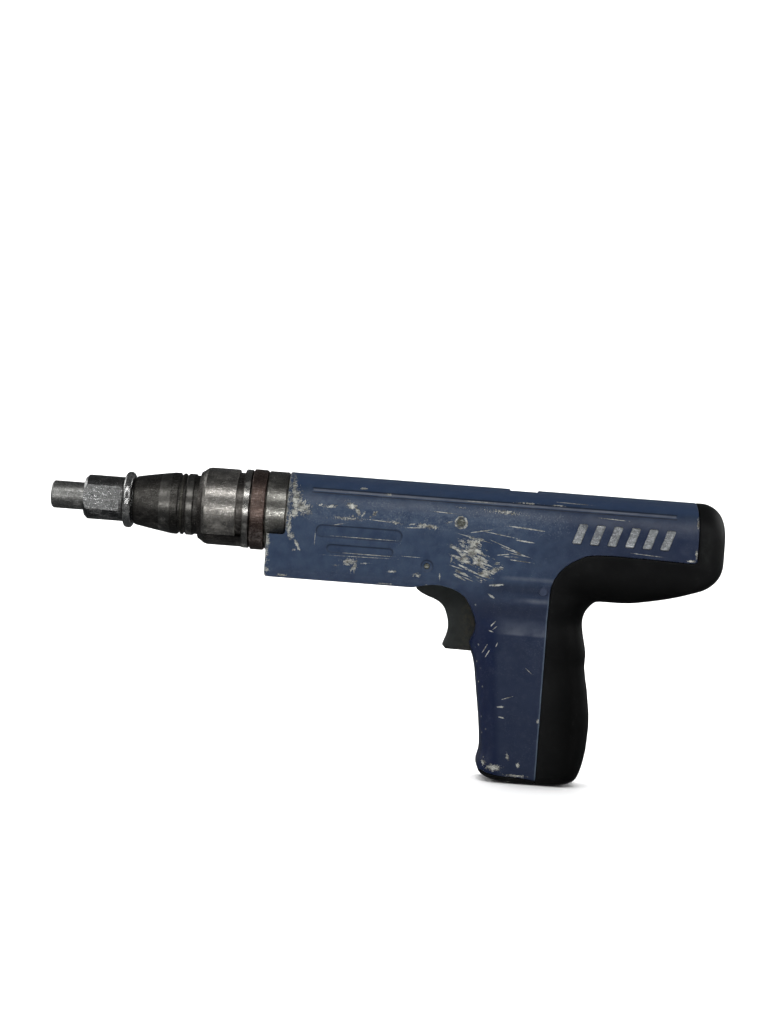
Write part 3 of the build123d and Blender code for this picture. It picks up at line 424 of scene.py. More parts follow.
turned = {
    "muzzle_ring": lathe("muzzle_ring_turned", "barrel", "muzzle_ring", rounded(36.9, 41.3, 9.45, 14.2, 1.95)),
    "nose_cone": lathe("nose_cone_turned", "barrel", "nose_cone", [
        (41.9, 9.45), (41.9, 11.5), (42.3, 11.95), (43.0, 12.35), (48.0, 13.3), (54.0, 14.35), (58.5, 15.08), (60.3, 15.36), (61.2, 15.52), (62.0, 15.58), (64.1, 15.58), (64.5, 15.4), (65.0, 14.65), (65.2, 14.6),
        (68.0, 14.6), (68.2, 14.65), (68.6, 15.35), (68.9, 15.57), (72.1, 15.57), (72.4, 15.4), (72.7, 14.95), (73.0, 14.9), (73.9, 14.9), (73.9, 13.05), (60.2, 13.05), (60.2, 5.0), (48.7, 5.0), (48.7, 9.45)]),
    "cone_ring": lathe("cone_ring_turned", "barrel", "cone_ring", rounded(65.9, 67.3, 14.65, 15.45, 0.35, 4)),
    "wear_ring": lathe("wear_ring_turned", "root", "wear_ring", [
        (101.5, 17.25), (101.5, 19.85), (101.65, 20.15), (102.0, 20.36), (102.8, 20.4), (107.2, 20.34), (107.9, 20.28), (108.35, 20.05), (108.6, 19.65), (108.6, 17.25)]),
}
print("faces", len(housing.data.polygons), len(cover.data.polygons), len(base.data.polygons))

# ---------------------------------------------------------------- materials
class N:
    """Small helper around a material's node tree."""

    def __init__(self, name):
        self.m = bpy.data.materials.new(name)
        self.m.use_nodes = True
        self.t = self.m.node_tree
        self.t.nodes.clear()
        self.out = self.t.nodes.new("ShaderNodeOutputMaterial")
        self.p = self.t.nodes.new("ShaderNodeBsdfPrincipled")
        self.t.links.new(self.p.outputs[0], self.out.inputs[0])
        self.tc = self.t.nodes.new("ShaderNodeTexCoord")
        self.obj = self.tc.outputs["Object"]

    def link(self, a, b):
        self.t.links.new(a, b)

    def put(self, socket, v):
        if isinstance(v, bpy.types.NodeSocket):
            self.link(v, socket)
        else:
            socket.default_value = v

    def math(self, op, a, b=0.0, c=0.0, clamp=False):
        n = self.t.nodes.new("ShaderNodeMath")
        n.operation = op
        n.use_clamp = clamp
        self.put(n.inputs[0], a)
        self.put(n.inputs[1], b)
        self.put(n.inputs[2], c)
        return n.outputs[0]

    def vmath(self, op, a, b=(0, 0, 0)):
        n = self.t.nodes.new("ShaderNodeVectorMath")
        n.operation = op
        self.put(n.inputs[0], a)
        self.put(n.inputs[1], b)
        return n.outputs["Value"] if op in ("LENGTH", "DISTANCE", "DOT_PRODUCT") else n.outputs[0]

    def noise(self, scale, detail=3.0, rough=0.5, vec=None, dist=0.0, stretch=None, offset=None):
        n = self.t.nodes.new("ShaderNodeTexNoise")
        v = vec or self.obj
        if stretch or offset:
            mp = self.t.nodes.new("ShaderNodeMapping")
            self.link(v, mp.inputs[0])
            if stretch:
                mp.inputs["Scale"].default_value = stretch
            if offset:
                mp.inputs["Location"].default_value = offset
            v = mp.outputs[0]
        self.link(v, n.inputs["Vector"])
        n.inputs["Scale"].default_value = scale
        n.inputs["Detail"].default_value = detail
        n.inputs["Roughness"].default_value = rough
        n.inputs["Distortion"].default_value = dist
        return n.outputs["Fac"] if "Fac" in n.outputs else n.outputs[0]

    def ramp(self, v, lo, hi, a=0.0, b=1.0):
        n = self.t.nodes.new("ShaderNodeMapRange")
        n.inputs["From Min"].default_value = lo
        n.inputs["From Max"].default_value = hi
        n.inputs["To Min"].default_value = a
        n.inputs["To Max"].default_value = b
        n.clamp = True
        self.link(v, n.inputs["Value"])
        return n.outputs[0]

    def mix(self, f, a, b):
        n = self.t.nodes.new("ShaderNodeMix")
        n.data_type = "RGBA"
        self.put(n.inputs[0], f)
        self.put(n.inputs[6], a if isinstance(a, bpy.types.NodeSocket) else (*a, 1.0))
        self.put(n.inputs[7], b if isinstance(b, bpy.types.NodeSocket) else (*b, 1.0))
        return n.outputs[2]

    def lerp(self, f, a, b):
        n = self.t.nodes.new("ShaderNodeMix")
        n.data_type = "FLOAT"
        self.put(n.inputs[0], f)
        self.put(n.inputs[2], a)
        self.put(n.inputs[3], b)
        return n.outputs[0]

    def xyz(self):
        n = self.t.nodes.new("ShaderNodeSeparateXYZ")
        self.link(self.obj, n.inputs[0])
        return n.outputs

    def bump(self, h, strength, dist, normal=None):
        n = self.t.nodes.new("ShaderNodeBump")
        n.inputs["Strength"].default_value = strength
        n.inputs["Distance"].default_value = dist
        self.link(h, n.inputs["Height"])
        if normal:
            self.link(normal, n.inputs["Normal"])
        return n.outputs[0]

    def edge(self, lo=0.52, hi=0.62):
        g = self.t.nodes.new("ShaderNodeNewGeometry")
        return self.ramp(g.outputs["Pointiness"], lo, hi)

    def set(self, color=None, rough=None, metal=None, normal=None, spec=None):
        if color is not None:
            self.put(self.p.inputs["Base Color"], color if isinstance(color, bpy.types.NodeSocket) else (*color, 1.0))
        if rough is not None:
            self.put(self.p.inputs["Roughness"], rough)
        if metal is not None:
            self.put(self.p.inputs["Metallic"], metal)
        if normal is not None:
            self.link(normal, self.p.inputs["Normal"])
        if spec is not None:
            self.p.inputs["Specular IOR Level"].default_value = spec
        return self.m


def steel(name, dark, light, rough=(0.28, 0.5), scratch=0.5, streak=(1.0, 1.0, 1.0), grime=0.4, grime_col=(0.02, 0.018, 0.015), bands=None, spots=0.5, scuff=None, band_cols=((0.062, 0.060, 0.055), (0.245, 0.238, 0.222))):
    """Worn steel: mottled tone, turned lines round the axis, scratches and grime."""
    n = N(name)
    big = n.noise(90.0, 4.0, 0.6, dist=0.4)
    fine = n.noise(900.0, 5.0, 0.7)
    turned = n.noise(2600.0, 2.0, 0.6, stretch=(1.0, 0.02, 0.02))
    mott = n.ramp(n.math("MULTIPLY_ADD", fine, 0.55, n.math("MULTIPLY", big, 0.6)), 0.38, 0.78)
    col = n.mix(mott, dark, light)
    # fine bright scratches in two directions
    s1 = n.ramp(n.noise(340.0, 3.0, 0.7, stretch=(1.0, 7.0, 7.0), dist=0.6), 0.565, 0.625)
    s2 = n.ramp(n.noise(420.0, 3.0, 0.7, stretch=(6.0, 1.0, 1.6), offset=(0.3, 0.1, 0.2), dist=0.5), 0.585, 0.645)
    sc = n.math("MULTIPLY", n.math("MAXIMUM", s1, s2), scratch)
    col = n.mix(sc, col, tuple(min(1.0, c * 1.8 + 0.12) for c in light))
    gr = n.ramp(n.noise(140.0, 6.0, 0.75, offset=(0.7, 0.2, 0.9)), 0.5, 0.68, 0.0, grime)
    col = n.mix(gr, col, grime_col)
    pits = n.ramp(n.noise(1500.0, 3.0, 0.6, offset=(1.3, 0.5, 0.1)), 0.66, 0.72, 0.0, spots)
    col = n.mix(pits, col, tuple(c * 0.4 for c in dark))
    r = n.lerp(mott, rough[1], rough[0])
    if bands:
        ax = n.xyz()[0]
        for b0, b1 in bands:
            bm_ = n.math("MULTIPLY", n.ramp(ax, (b0 - 0.25) * S, (b0 + 0.25) * S), n.ramp(ax, (b1 + 0.25) * S, (b1 - 0.25) * S))
            bm_ = n.math("MULTIPLY", bm_, n.ramp(big, 0.25, 0.6, 0.55, 1.0))
            col = n.mix(n.math("MULTIPLY", bm_, 0.9), col, n.mix(mott, band_cols[0], band_cols[1]))
            r = n.math("SUBTRACT", r, n.math("MULTIPLY", bm_, 0.12), clamp=True)
    if scuff:
        # a scratched patch low on both sides: height, half height, colour
        cz, half, scol = scuff
        k = n.ramp(n.math("ABSOLUTE", n.math("SUBTRACT", n.xyz()[2], cz * S)), half * S, half * 0.3 * S)
        k = n.math("MULTIPLY", k, n.ramp(n.noise(800.0, 5.0, 0.75, dist=0.6, stretch=(1.0, 2.2, 0.8)), 0.44, 0.60))
        col = n.mix(n.math("MULTIPLY", k, 0.9), col, scol)
        r = n.lerp(k, r, 0.6)
    r = n.math("ADD", r, n.math("MULTIPLY", gr, 0.3), clamp=True)
    r = n.math("SUBTRACT", r, n.math("MULTIPLY", sc, 0.08), clamp=True)
    h = n.math("ADD", n.math("MULTIPLY", turned, 0.25), n.math("ADD", n.math("MULTIPLY", fine, 0.35), n.math("MULTIPLY", pits, -0.6)))
    h = n.math("SUBTRACT", h, n.math("MULTIPLY", sc, 0.35))
    nb = n.bump(big, 0.25, 0.0006)
    nm = n.bump(h, 0.35, 0.00012, nb)
    metal = n.math("SUBTRACT", 1.0, n.math("MULTIPLY", gr, 0.6))
    return n.set(col, r, metal, nm)


CHIPS = [
    # centre x, centre z, half length, half height (mm), turn, 0 for flaked paint, 1 for the torn gouge, 2 for fine peppering
    (122.6, 13.0, 1.2, 4.6, 4, 0), (123.8, 7.4, 2.2, 3.8, -14, 0), (126.6, 3.2, 4.6, 3.0, -24, 0), (124.0, -0.2, 1.6, 2.2, 0, 0), (121.6, -6.0, 0.9, 4.6, 0, 0), (122.9, -11.6, 1.5, 1.7, 35, 0),
    (126.0, -15.6, 0.7, 2.6, 28, 0), (124.8, -18.6, 0.8, 0.6, 0, 0), (111.4, -14.4, 1.0, 2.8, 0, 0), (112.0, -29.8, 0.9, 0.9, 0, 0), (136.4, 4.6, 3.0, 1.0, -8, 2), (141.6, 4.4, 2.4, 0.7, 4, 0),
    (151.6, 5.6, 2.7, 1.6, -26, 0), (155.0, 3.2, 2.4, 0.9, -52, 0), (157.6, 1.4, 1.4, 0.6, 50, 0), (163.6, 2.6, 0.8, 1.5, -30, 0), (152.6, 0.4, 0.7, 0.6, 0, 0), (161.5, 0.4, 0.6, 0.5, 0, 0),
    (174.0, -1.2, 4.2, 1.3, -8, 2), (190.0, -1.8, 4.6, 1.0, -4, 0), (182.0, -1.4, 3.2, 0.7, 0, 2), (200.6, 1.0, 2.6, 0.8, 25, 2), (150.0, -1.0, 12.0, 1.2, 0, 2),
    (152.8, -22.2, 2.9, 1.6, 8, 0), (155.2, -25.2, 1.2, 2.2, -12, 0), (146.4, -24.6, 2.0, 0.7, 0, 2), (160.2, -22.6, 3.0, 0.5, 4, 2), (174.4, -25.6, 1.7, 0.5, 0, 0), (187.0, -26.5, 2.0, 0.9, 0, 0),
    (198.0, -26.2, 0.3, 1.4, 10, 0), (203.2, -17.4, 0.4, 1.5, -10, 0),
    (213.2, -9.0, 3.2, 3.4, -40, 1), (213.0, -13.0, 6.6, 3.4, -34, 1), (209.0, -16.2, 4.4, 2.2, -24, 1), (217.4, -18.0, 4.8, 3.0, -30, 1), (219.6, -23.6, 3.4, 2.4, 40, 1), (224.6, -21.4, 3.6, 1.4, 28, 1),
    (204.6, -11.6, 3.0, 0.9, -24, 1), (226.0, -17.4, 1.2, 0.7, 0, 0), (216.4, -7.0, 1.3, 0.8, 30, 1), (211.4, -21.4, 5.2, 0.5, -24, 1), (209.8, -24.0, 4.4, 0.42, -26, 1), (208.2, -26.0, 2.8, 0.4, -28, 1),
    (238.4, -113.0, 0.7, 1.6, 20, 0), (244.0, -117.0, 0.8, 1.1, 0, 0), (232.0, -119.2, 3.4, 1.4, 0, 0), (243.0, -122.4, 5.0, 0.6, 0, 0), (227.0, -117.2, 1.0, 1.2, 0, 0),
    (324.4, 9.3, 0.6, 2.6, 0, 0), (324.2, -5.8, 0.6, 2.2, 0, 0), (322.0, -9.2, 2.0, 0.5, 0, 0), (252.3, -94.7, 0.6, 1.0, 0, 0), (119.9, -31.6, 2.0, 0.5, 0, 0), (171.0, -32.0, 3.0, 0.4, 0, 0),
    (170.0, 12.4, 1.5, 0.5, 0, 0), (157.0, 14.4, 1.6, 0.5, 0, 0), (206.0, 8.8, 3.4, 0.5, -3, 2), (228.0, 8.0, 12.0, 1.4, -3, 2), (240.0, 13.4, 4.6, 0.35, 0, 0), (254.0, 13.4, 3.0, 0.3, 0, 0),
]
SCRATCHES = [
    (237.5, 0.9, 7.2, 0.30, -4), (243.5, 0.5, 4.6, 0.26, -5), (238.9, -5.6, 4.6, 0.36, -5), (229.5, -9.0, 7.8, 0.22, -20), (234.0, -11.2, 6.4, 0.24, -16), (236.5, -12.6, 5.0, 0.20, -8),
    (237.7, -15.6, 5.6, 0.26, -4), (228.6, -13.0, 3.4, 0.24, 10), (225.8, -3.2, 9.0, 0.20, -8), (217.0, -2.2, 6.0, 0.22, 12), (214.0, -6.0, 7.4, 0.22, -12),
    (226.8, -28.3, 3.5, 0.55, 8), (224.4, -34.0, 1.8, 0.5, -30), (226.6, -47.6, 1.8, 0.30, 50), (227.4, -49.8, 1.4, 0.26, 40), (225.4, -51.4, 1.3, 0.26, -20),
    (223.3, -60.2, 2.2, 0.26, 62), (224.8, -62.6, 2.0, 0.24, 64), (233.1, -88.8, 1.9, 0.45, 4), (234.0, -94.0, 1.4, 0.35, -10), (236.5, -84.0, 2.6, 0.20, 20), (206.0, -21.0, 3.6, 0.24, -14),
    (208.6, -24.0, 3.4, 0.24, -18), (212.0, -26.4, 3.2, 0.22, -20), (184.0, -3.0, 5.0, 0.22, 4), (167.0, -1.0, 6.0, 0.22, -3), (146.0, -4.2, 3.0, 0.22, 12), (198.0, 5.6, 6.0, 0.20, -2),
    (160.0, -10.2, 16.4, 0.20, 0), (162.0, -18.2, 12.4, 0.22, 0), (183.5, -17.6, 4.4, 0.14, 0), (134.8, -12.0, 0.14, 3.0, 0), (157.0, -19.6, 16.0, 0.14, 1),
    (262.0, 15.0, 9.0, 0.20, -1), (215.0, 12.2, 8.0, 0.22, 0), (282.0, 8.6, 7.0, 0.18, -2), (300.0, -7.8, 8.0, 0.18, -3), (229.0, -58.0, 1.2, 0.2, 70), (246.0, -70.0, 2.2, 0.2, -40),
]


def paint():
    n = N("navy_cast_paint")
    x, y, z = n.xyz()
    fine = n.noise(1100.0, 4.0, 0.65)
    mid = n.noise(160.0, 5.0, 0.6)
    big = n.noise(22.0, 3.0, 0.5)
    navy = (0.0098, 0.0175, 0.0450)
    navy2 = (0.0165, 0.0265, 0.0580)
    col = n.mix(n.ramp(n.math("MULTIPLY_ADD", mid, 0.5, n.math("MULTIPLY", big, 0.5)), 0.35, 0.7), navy, navy2)
    # painted light and shade: the body is painted a little paler than the grip and the rear below it
    body = n.math("MULTIPLY", n.ramp(z, -0.0400, -0.0260), n.ramp(x, 0.285, 0.235))
    body = n.math("MAXIMUM", body, n.ramp(z, 0.0065, 0.0130, 0.0, 0.75))
    col = n.mix(n.math("MULTIPLY", body, 0.85), col, n.mix(n.ramp(mid, 0.35, 0.65), (0.0215, 0.0390, 0.0800), (0.0360, 0.0600, 0.1080)))
    # painted highlight: the top above the rib is painted paler still
    col = n.mix(n.ramp(z, 0.0125, 0.0150, 0.0, 0.65), col, (0.0310, 0.0570, 0.1220))
    # painted shade: the front of the grip, where it turns away, is painted darker
    front = n.math("MULTIPLY", n.ramp(n.math("SUBTRACT", x, n.math("MULTIPLY_ADD", z, -0.0933, 0.22328)), 0.0012, -0.0016), n.ramp(z, -0.036, -0.050))
    col = n.mix(n.math("MULTIPLY", front, 0.92), col, (0.0030, 0.0095, 0.0400))
    # the swept junction of body and grip: pale crests, partly worn paint and partly painted highlight, with painted
    # shade in the hollows between them
    onside = n.ramp(x, 0.2270, 0.2340)
    hollow = n.math("MULTIPLY", n.ramp(z, -0.0250, -0.0285), n.ramp(z, -0.0345, -0.0310))
    hollow = n.math("MAXIMUM", hollow, n.math("MULTIPLY", n.math("MULTIPLY", n.ramp(z, -0.0362, -0.0385), n.ramp(z, -0.0470, -0.0410)), 0.6))
    col = n.mix(n.math("MULTIPLY", n.math("MULTIPLY", hollow, n.ramp(x, 0.2180, 0.2280)), 0.62), col, (0.0055, 0.0115, 0.0340))
    wear_and_sheen = n.ramp(mid, 0.30, 0.62, 0.35, 1.0)
    crest_a = n.math("MULTIPLY", n.math("MULTIPLY", n.ramp(z, -0.0440, -0.0516), n.ramp(z, -0.0531, -0.0521)), onside)
    crest_b = n.math("MULTIPLY", n.ramp(n.math("ABSOLUTE", n.math("ADD", z, 0.0350)), 0.0017, 0.0002), n.ramp(x, 0.2350, 0.2450))
    crest_c = n.math("MULTIPLY", n.ramp(n.math("ABSOLUTE", n.math("ADD", z, 0.0243)), 0.0014, 0.0002), n.math("MULTIPLY", onside, 0.6))
    crest_wear_and_highlight = n.math("MAXIMUM", n.math("MAXIMUM", n.math("MULTIPLY", crest_a, 0.62), n.math("MULTIPLY", crest_b, 0.70)), crest_c)
    # painted highlight and worn paint on the crests
    col = n.mix(n.math("MULTIPLY", crest_wear_and_highlight, wear_and_sheen), col, (0.0950, 0.1080, 0.1380))
    # paint worn thin along the edge that meets the rear cover, with a painted edge highlight along it
    seam_wear_and_highlight = n.math("MULTIPLY", n.ramp(n.math("ABSOLUTE", n.math("SUBTRACT", x, 0.2529)), 0.00050, 0.00015), n.ramp(z, -0.0300, -0.0360))
    col = n.mix(n.math("MULTIPLY", n.math("MULTIPLY", seam_wear_and_highlight, wear_and_sheen), 0.75), col, (0.0900, 0.1250, 0.1650))
    # paler paint along the widest line of the body, partly polished by hands and cases and partly painted highlight
    # where the side faces the light
    warp = n.math("MULTIPLY", n.math("SUBTRACT", n.noise(60.0, 4.0, 0.6), 0.5), 0.012)
    zz = n.math("ADD", z, warp)
    wear_and_highlight_band = n.ramp(n.math("ABSOLUTE", n.math("SUBTRACT", zz, 0.003)), 0.0085, 0.0015)
    rubx = n.math("MULTIPLY", n.ramp(x, 0.118, 0.135), n.ramp(x, 0.262, 0.236))
    speck = n.ramp(n.noise(430.0, 6.0, 0.8, stretch=(0.55, 1.0, 1.0)), 0.44, 0.72)
    wear_and_highlight_band = n.math("MULTIPLY", n.math("MULTIPLY", wear_and_highlight_band, rubx), n.math("MULTIPLY_ADD", speck, 0.85, 0.1))
    col = n.mix(n.math("MULTIPLY", wear_and_highlight_band, 0.75), col, (0.105, 0.135, 0.185))
    # painted highlight: a paler band just under the rib and the top
    upper_highlight = n.ramp(n.math("ABSOLUTE", n.math("SUBTRACT", zz, 0.0075)), 0.006, 0.001)
    upper_highlight = n.math("MULTIPLY", n.math("MULTIPLY", upper_highlight, n.ramp(n.noise(35.0, 4.0, 0.6, offset=(3, 1, 0)), 0.4, 0.6)), 0.35)
    col = n.mix(upper_highlight, col, (0.080, 0.095, 0.130))
    # pale pepper of worn grain, densest on the widest part of the body
    grain = n.ramp(n.noise(1250.0, 3.0, 0.7, offset=(0.6, 0.8, 0.2)), 0.54, 0.66)
    patchy = n.ramp(n.noise(75.0, 4.0, 0.65, offset=(1.7, 0.3, 0.6)), 0.38, 0.66)
    zone = n.math("MULTIPLY", n.ramp(zz, -0.0060, 0.0005), n.ramp(zz, 0.0110, 0.0070))
    zone = n.math("MULTIPLY_ADD", n.math("MULTIPLY", zone, n.ramp(x, 0.275, 0.235)), 0.85, 0.15)
    col = n.mix(n.math("MULTIPLY", n.math("MULTIPLY", grain, patchy), n.math("MULTIPLY", zone, 0.75)), col, (0.180, 0.205, 0.235))
    dust = n.ramp(n.noise(260.0, 6.0, 0.75, offset=(2.0, 0.0, 1.0)), 0.52, 0.75, 0.0, 0.24)
    col = n.mix(dust, col, (0.050, 0.062, 0.090))

    # the long rib: its top painted paler, partly worn paint and partly painted highlight, between two dark lines
    rib_top_wear_and_highlight = n.ramp(n.math("ABSOLUTE", n.math("SUBTRACT", z, 0.01212)), 0.00062, 0.00034)
    rib_top_wear_and_highlight = n.math("MULTIPLY", rib_top_wear_and_highlight, n.math("MULTIPLY", n.ramp(x, 0.1318, 0.1326), n.ramp(x, 0.3136, 0.3128)))
    rib_top_wear_and_highlight = n.math("MULTIPLY", rib_top_wear_and_highlight, n.ramp(n.noise(70.0, 5.0, 0.7, stretch=(0.6, 1.0, 1.0), offset=(0.9, 0.1, 0.3)), 0.30, 0.62, 0.35, 1.0))
    col = n.mix(n.math("MULTIPLY", rib_top_wear_and_highlight, 0.85), col, (0.150, 0.165, 0.200))
    # painted shade in the two grooves beside the rib
    groove_shade_line = n.math("MINIMUM", n.math("ABSOLUTE", n.math("SUBTRACT", z, 0.01085)), n.math("ABSOLUTE", n.math("SUBTRACT", z, 0.01300)))
    groove_shade_line = n.math("MULTIPLY", n.ramp(groove_shade_line, 0.00042, 0.00018), n.math("MULTIPLY", n.ramp(x, 0.1312, 0.1320), n.ramp(x, 0.3142, 0.3134)))
    col = n.mix(n.math("MULTIPLY", groove_shade_line, 0.7), col, (0.006, 0.009, 0.018))

    # painted shade on the inner sides of the two long recesses and round the trigger pin
    recess_shade = None
    for cx, cz, length, height in ((156.5, -8.0, 42.8, 6.0), (157.5, -16.4, 33.0, 4.0), (191.3, -21.6, 6.0, 6.0)):
        rad = height / 2
        dx = n.math("MAXIMUM", n.math("SUBTRACT", n.math("ABSOLUTE", n.math("SUBTRACT", x, cx * S)), (length / 2 - rad) * S), 0.0)
        dz = n.math("SUBTRACT", z, cz * S)
        d = n.math("SUBTRACT", n.math("SQRT", n.math("ADD", n.math("MULTIPLY", dx, dx), n.math("MULTIPLY", dz, dz))), rad * S)
        k = n.ramp(n.math("ABSOLUTE", n.math("ADD", d, 0.0001)), 0.00055, 0.00012)
        # the painted shade is darkest along the upper side and weaker along the lower side
        k = n.math("MULTIPLY", k, n.ramp(dz, -0.6 * rad * S, 0.4 * rad * S, 0.35, 1.0))
        recess_shade = k if recess_shade is None else n.math("MAXIMUM", recess_shade, k)
    col = n.mix(n.math("MULTIPLY", recess_shade, 0.75), col, (0.0065, 0.0120, 0.0290))

    # ragged edges for the bare patches; the gouge is torn along a slanting direction
    wob = n.math("MULTIPLY", n.math("SUBTRACT", n.noise(420.0, 3.0, 0.6, dist=0.6), 0.5), 2.4)
    wob = n.math("ADD", wob, n.math("MULTIPLY", n.math("SUBTRACT", n.noise(1250.0, 5.0, 0.8, dist=0.5), 0.5), 6.5))
    ca, sa = math.cos(math.radians(-20)), math.sin(math.radians(-20))
    along = n.math("ADD", n.math("MULTIPLY", x, ca), n.math("MULTIPLY", z, sa))
    across = n.math("ADD", n.math("MULTIPLY", x, -sa), n.math("MULTIPLY", z, ca))
    torn_v = n.t.nodes.new("ShaderNodeCombineXYZ")
    n.put(torn_v.inputs[0], n.math("MULTIPLY", along, 0.20))
    n.put(torn_v.inputs[1], y)
    n.put(torn_v.inputs[2], across)
    torn = n.noise(900.0, 5.0, 0.75, vec=torn_v.outputs[0], dist=0.25)
    streaky = n.math("ADD", n.math("MULTIPLY", n.math("SUBTRACT", torn, 0.5), 6.0), n.math("MULTIPLY", wob, 0.35))
    pepper = n.math("MULTIPLY", n.math("SUBTRACT", n.noise(1500.0, 4.0, 0.75, offset=(0.4, 0.1, 0.7)), 0.40), 5.0)

    def patch(cx, cz, a, b, turn, w, grow=1.0):
        c, s = math.cos(math.radians(turn)), math.sin(math.radians(turn))
        dx = n.math("SUBTRACT", x, cx * S)
        dz = n.math("SUBTRACT", z, cz * S)
        u = n.math("ADD", n.math("MULTIPLY", dx, c / (a * S)), n.math("MULTIPLY", dz, s / (a * S)))
        v = n.math("ADD", n.math("MULTIPLY", dx, -s / (b * S)), n.math("MULTIPLY", dz, c / (b * S)))
        d = n.math("SQRT", n.math("ADD", n.math("MULTIPLY", u, u), n.math("MULTIPLY", v, v)))
        d = n.math("ADD", d, n.math("MULTIPLY", w, grow))
        return d

    total = None
    near = []
    for cx, cz, a, b, turn, w in CHIPS:
        d = patch(cx, cz, a, b, turn, (wob, streaky, pepper)[w], (0.85, 1.0, 1.0)[w])
        near.append(d)
    dmin = near[0]
    for d in near[1:]:
        dmin = n.math("MINIMUM", dmin, d)
    # front edges of the casting and the finger hollow's edge lose their paint
    e1 = n.math("ADD", n.math("MULTIPLY", n.math("SUBTRACT", x, 0.1198), 1.0 / 0.0016), n.math("MULTIPLY", wob, 1.9))
    e1 = n.math("MAXIMUM", e1, n.math("MULTIPLY", n.math("SUBTRACT", -0.0085, z), 900.0))
    dmin = n.math("MINIMUM", dmin, n.math("ADD", e1, 0.55))
    e2 = n.math("ADD", n.math("MULTIPLY", n.math("SUBTRACT", x, 0.1106), 1.0 / 0.0011), n.math("MULTIPLY", wob, 2.2))
    dmin = n.math("MINIMUM", dmin, n.math("ADD", e2, 0.5))
    # scraped ring round the screw in the side
    sx, sz = n.math("SUBTRACT", x, 0.2066), n.math("SUBTRACT", z, 0.0012)
    sd = n.math("SQRT", n.math("ADD", n.math("MULTIPLY", sx, sx), n.math("MULTIPLY", sz, sz)))
    sr = n.math("MULTIPLY", n.math("ABSOLUTE", n.math("SUBTRACT", sd, 0.00275)), 1.0 / 0.00055)
    dmin = n.math("MINIMUM", dmin, n.math("ADD", n.math("ADD", sr, 0.15), n.math("MULTIPLY", wob, 0.9)))
    dmin = n.math("ADD", dmin, 0.12)
    bare = n.ramp(dmin, 1.05, 0.90)
    # small chips scattered over the casting
    tiny = n.ramp(n.noise(420.0, 4.0, 0.7, dist=0.8, offset=(5.1, 0.3, 2.2)), 0.735, 0.76)
    tiny2 = n.ramp(n.noise(900.0, 4.0, 0.7, dist=0.6, offset=(1.1, 4.3, 0.2)), 0.72, 0.75)
    tiny = n.math("MULTIPLY", n.math("MAXIMUM", tiny, tiny2), n.ramp(big, 0.42, 0.55))
    edge = n.math("MULTIPLY", n.edge(0.555, 0.60), n.ramp(mid, 0.42, 0.60))
    bare = n.math("MAXIMUM", bare, n.math("MAXIMUM", n.math("MULTIPLY", tiny, 0.9), n.math("MULTIPLY", edge, 0.75)), clamp=True)
    # long thin scratches near the gouge and on the grip
    thin = None
    for cx, cz, a, b, turn in SCRATCHES:
        d = patch(cx, cz, a, b, turn, wob, 0.35)
        thin = d if thin is None else n.math("MINIMUM", thin, d)
    thin = n.ramp(thin, 1.1, 0.75)
    bare = n.math("MAXIMUM", bare, n.math("MULTIPLY", thin, 0.9), clamp=True)
    metal_col = n.mix(n.ramp(n.noise(420.0, 6.0, 0.8, stretch=(0.6, 1, 1)), 0.40, 0.60), (0.10, 0.099, 0.090), (0.60, 0.605, 0.555))
    col = n.mix(bare, col, metal_col)
    r = n.lerp(bare, n.ramp(mid, 0.3, 0.7, 0.34, 0.52), n.ramp(fine, 0.3, 0.7, 0.42, 0.62))
    r = n.math("SUBTRACT", r, n.math("MULTIPLY", wear_and_highlight_band, 0.08), clamp=True)
    h = n.math("ADD", n.math("MULTIPLY", fine, 0.55), n.math("MULTIPLY", mid, 0.6))
    h1 = n.bump(h, 0.22, 0.00028)
    depth = n.math("MULTIPLY", bare, n.math("MULTIPLY_ADD", torn, 1.1, -1.3))
    h2 = n.bump(depth, 0.6, 0.00035, h1)
    return n.set(col, r, n.math("MULTIPLY", bare, 0.35), h2, 0.3)




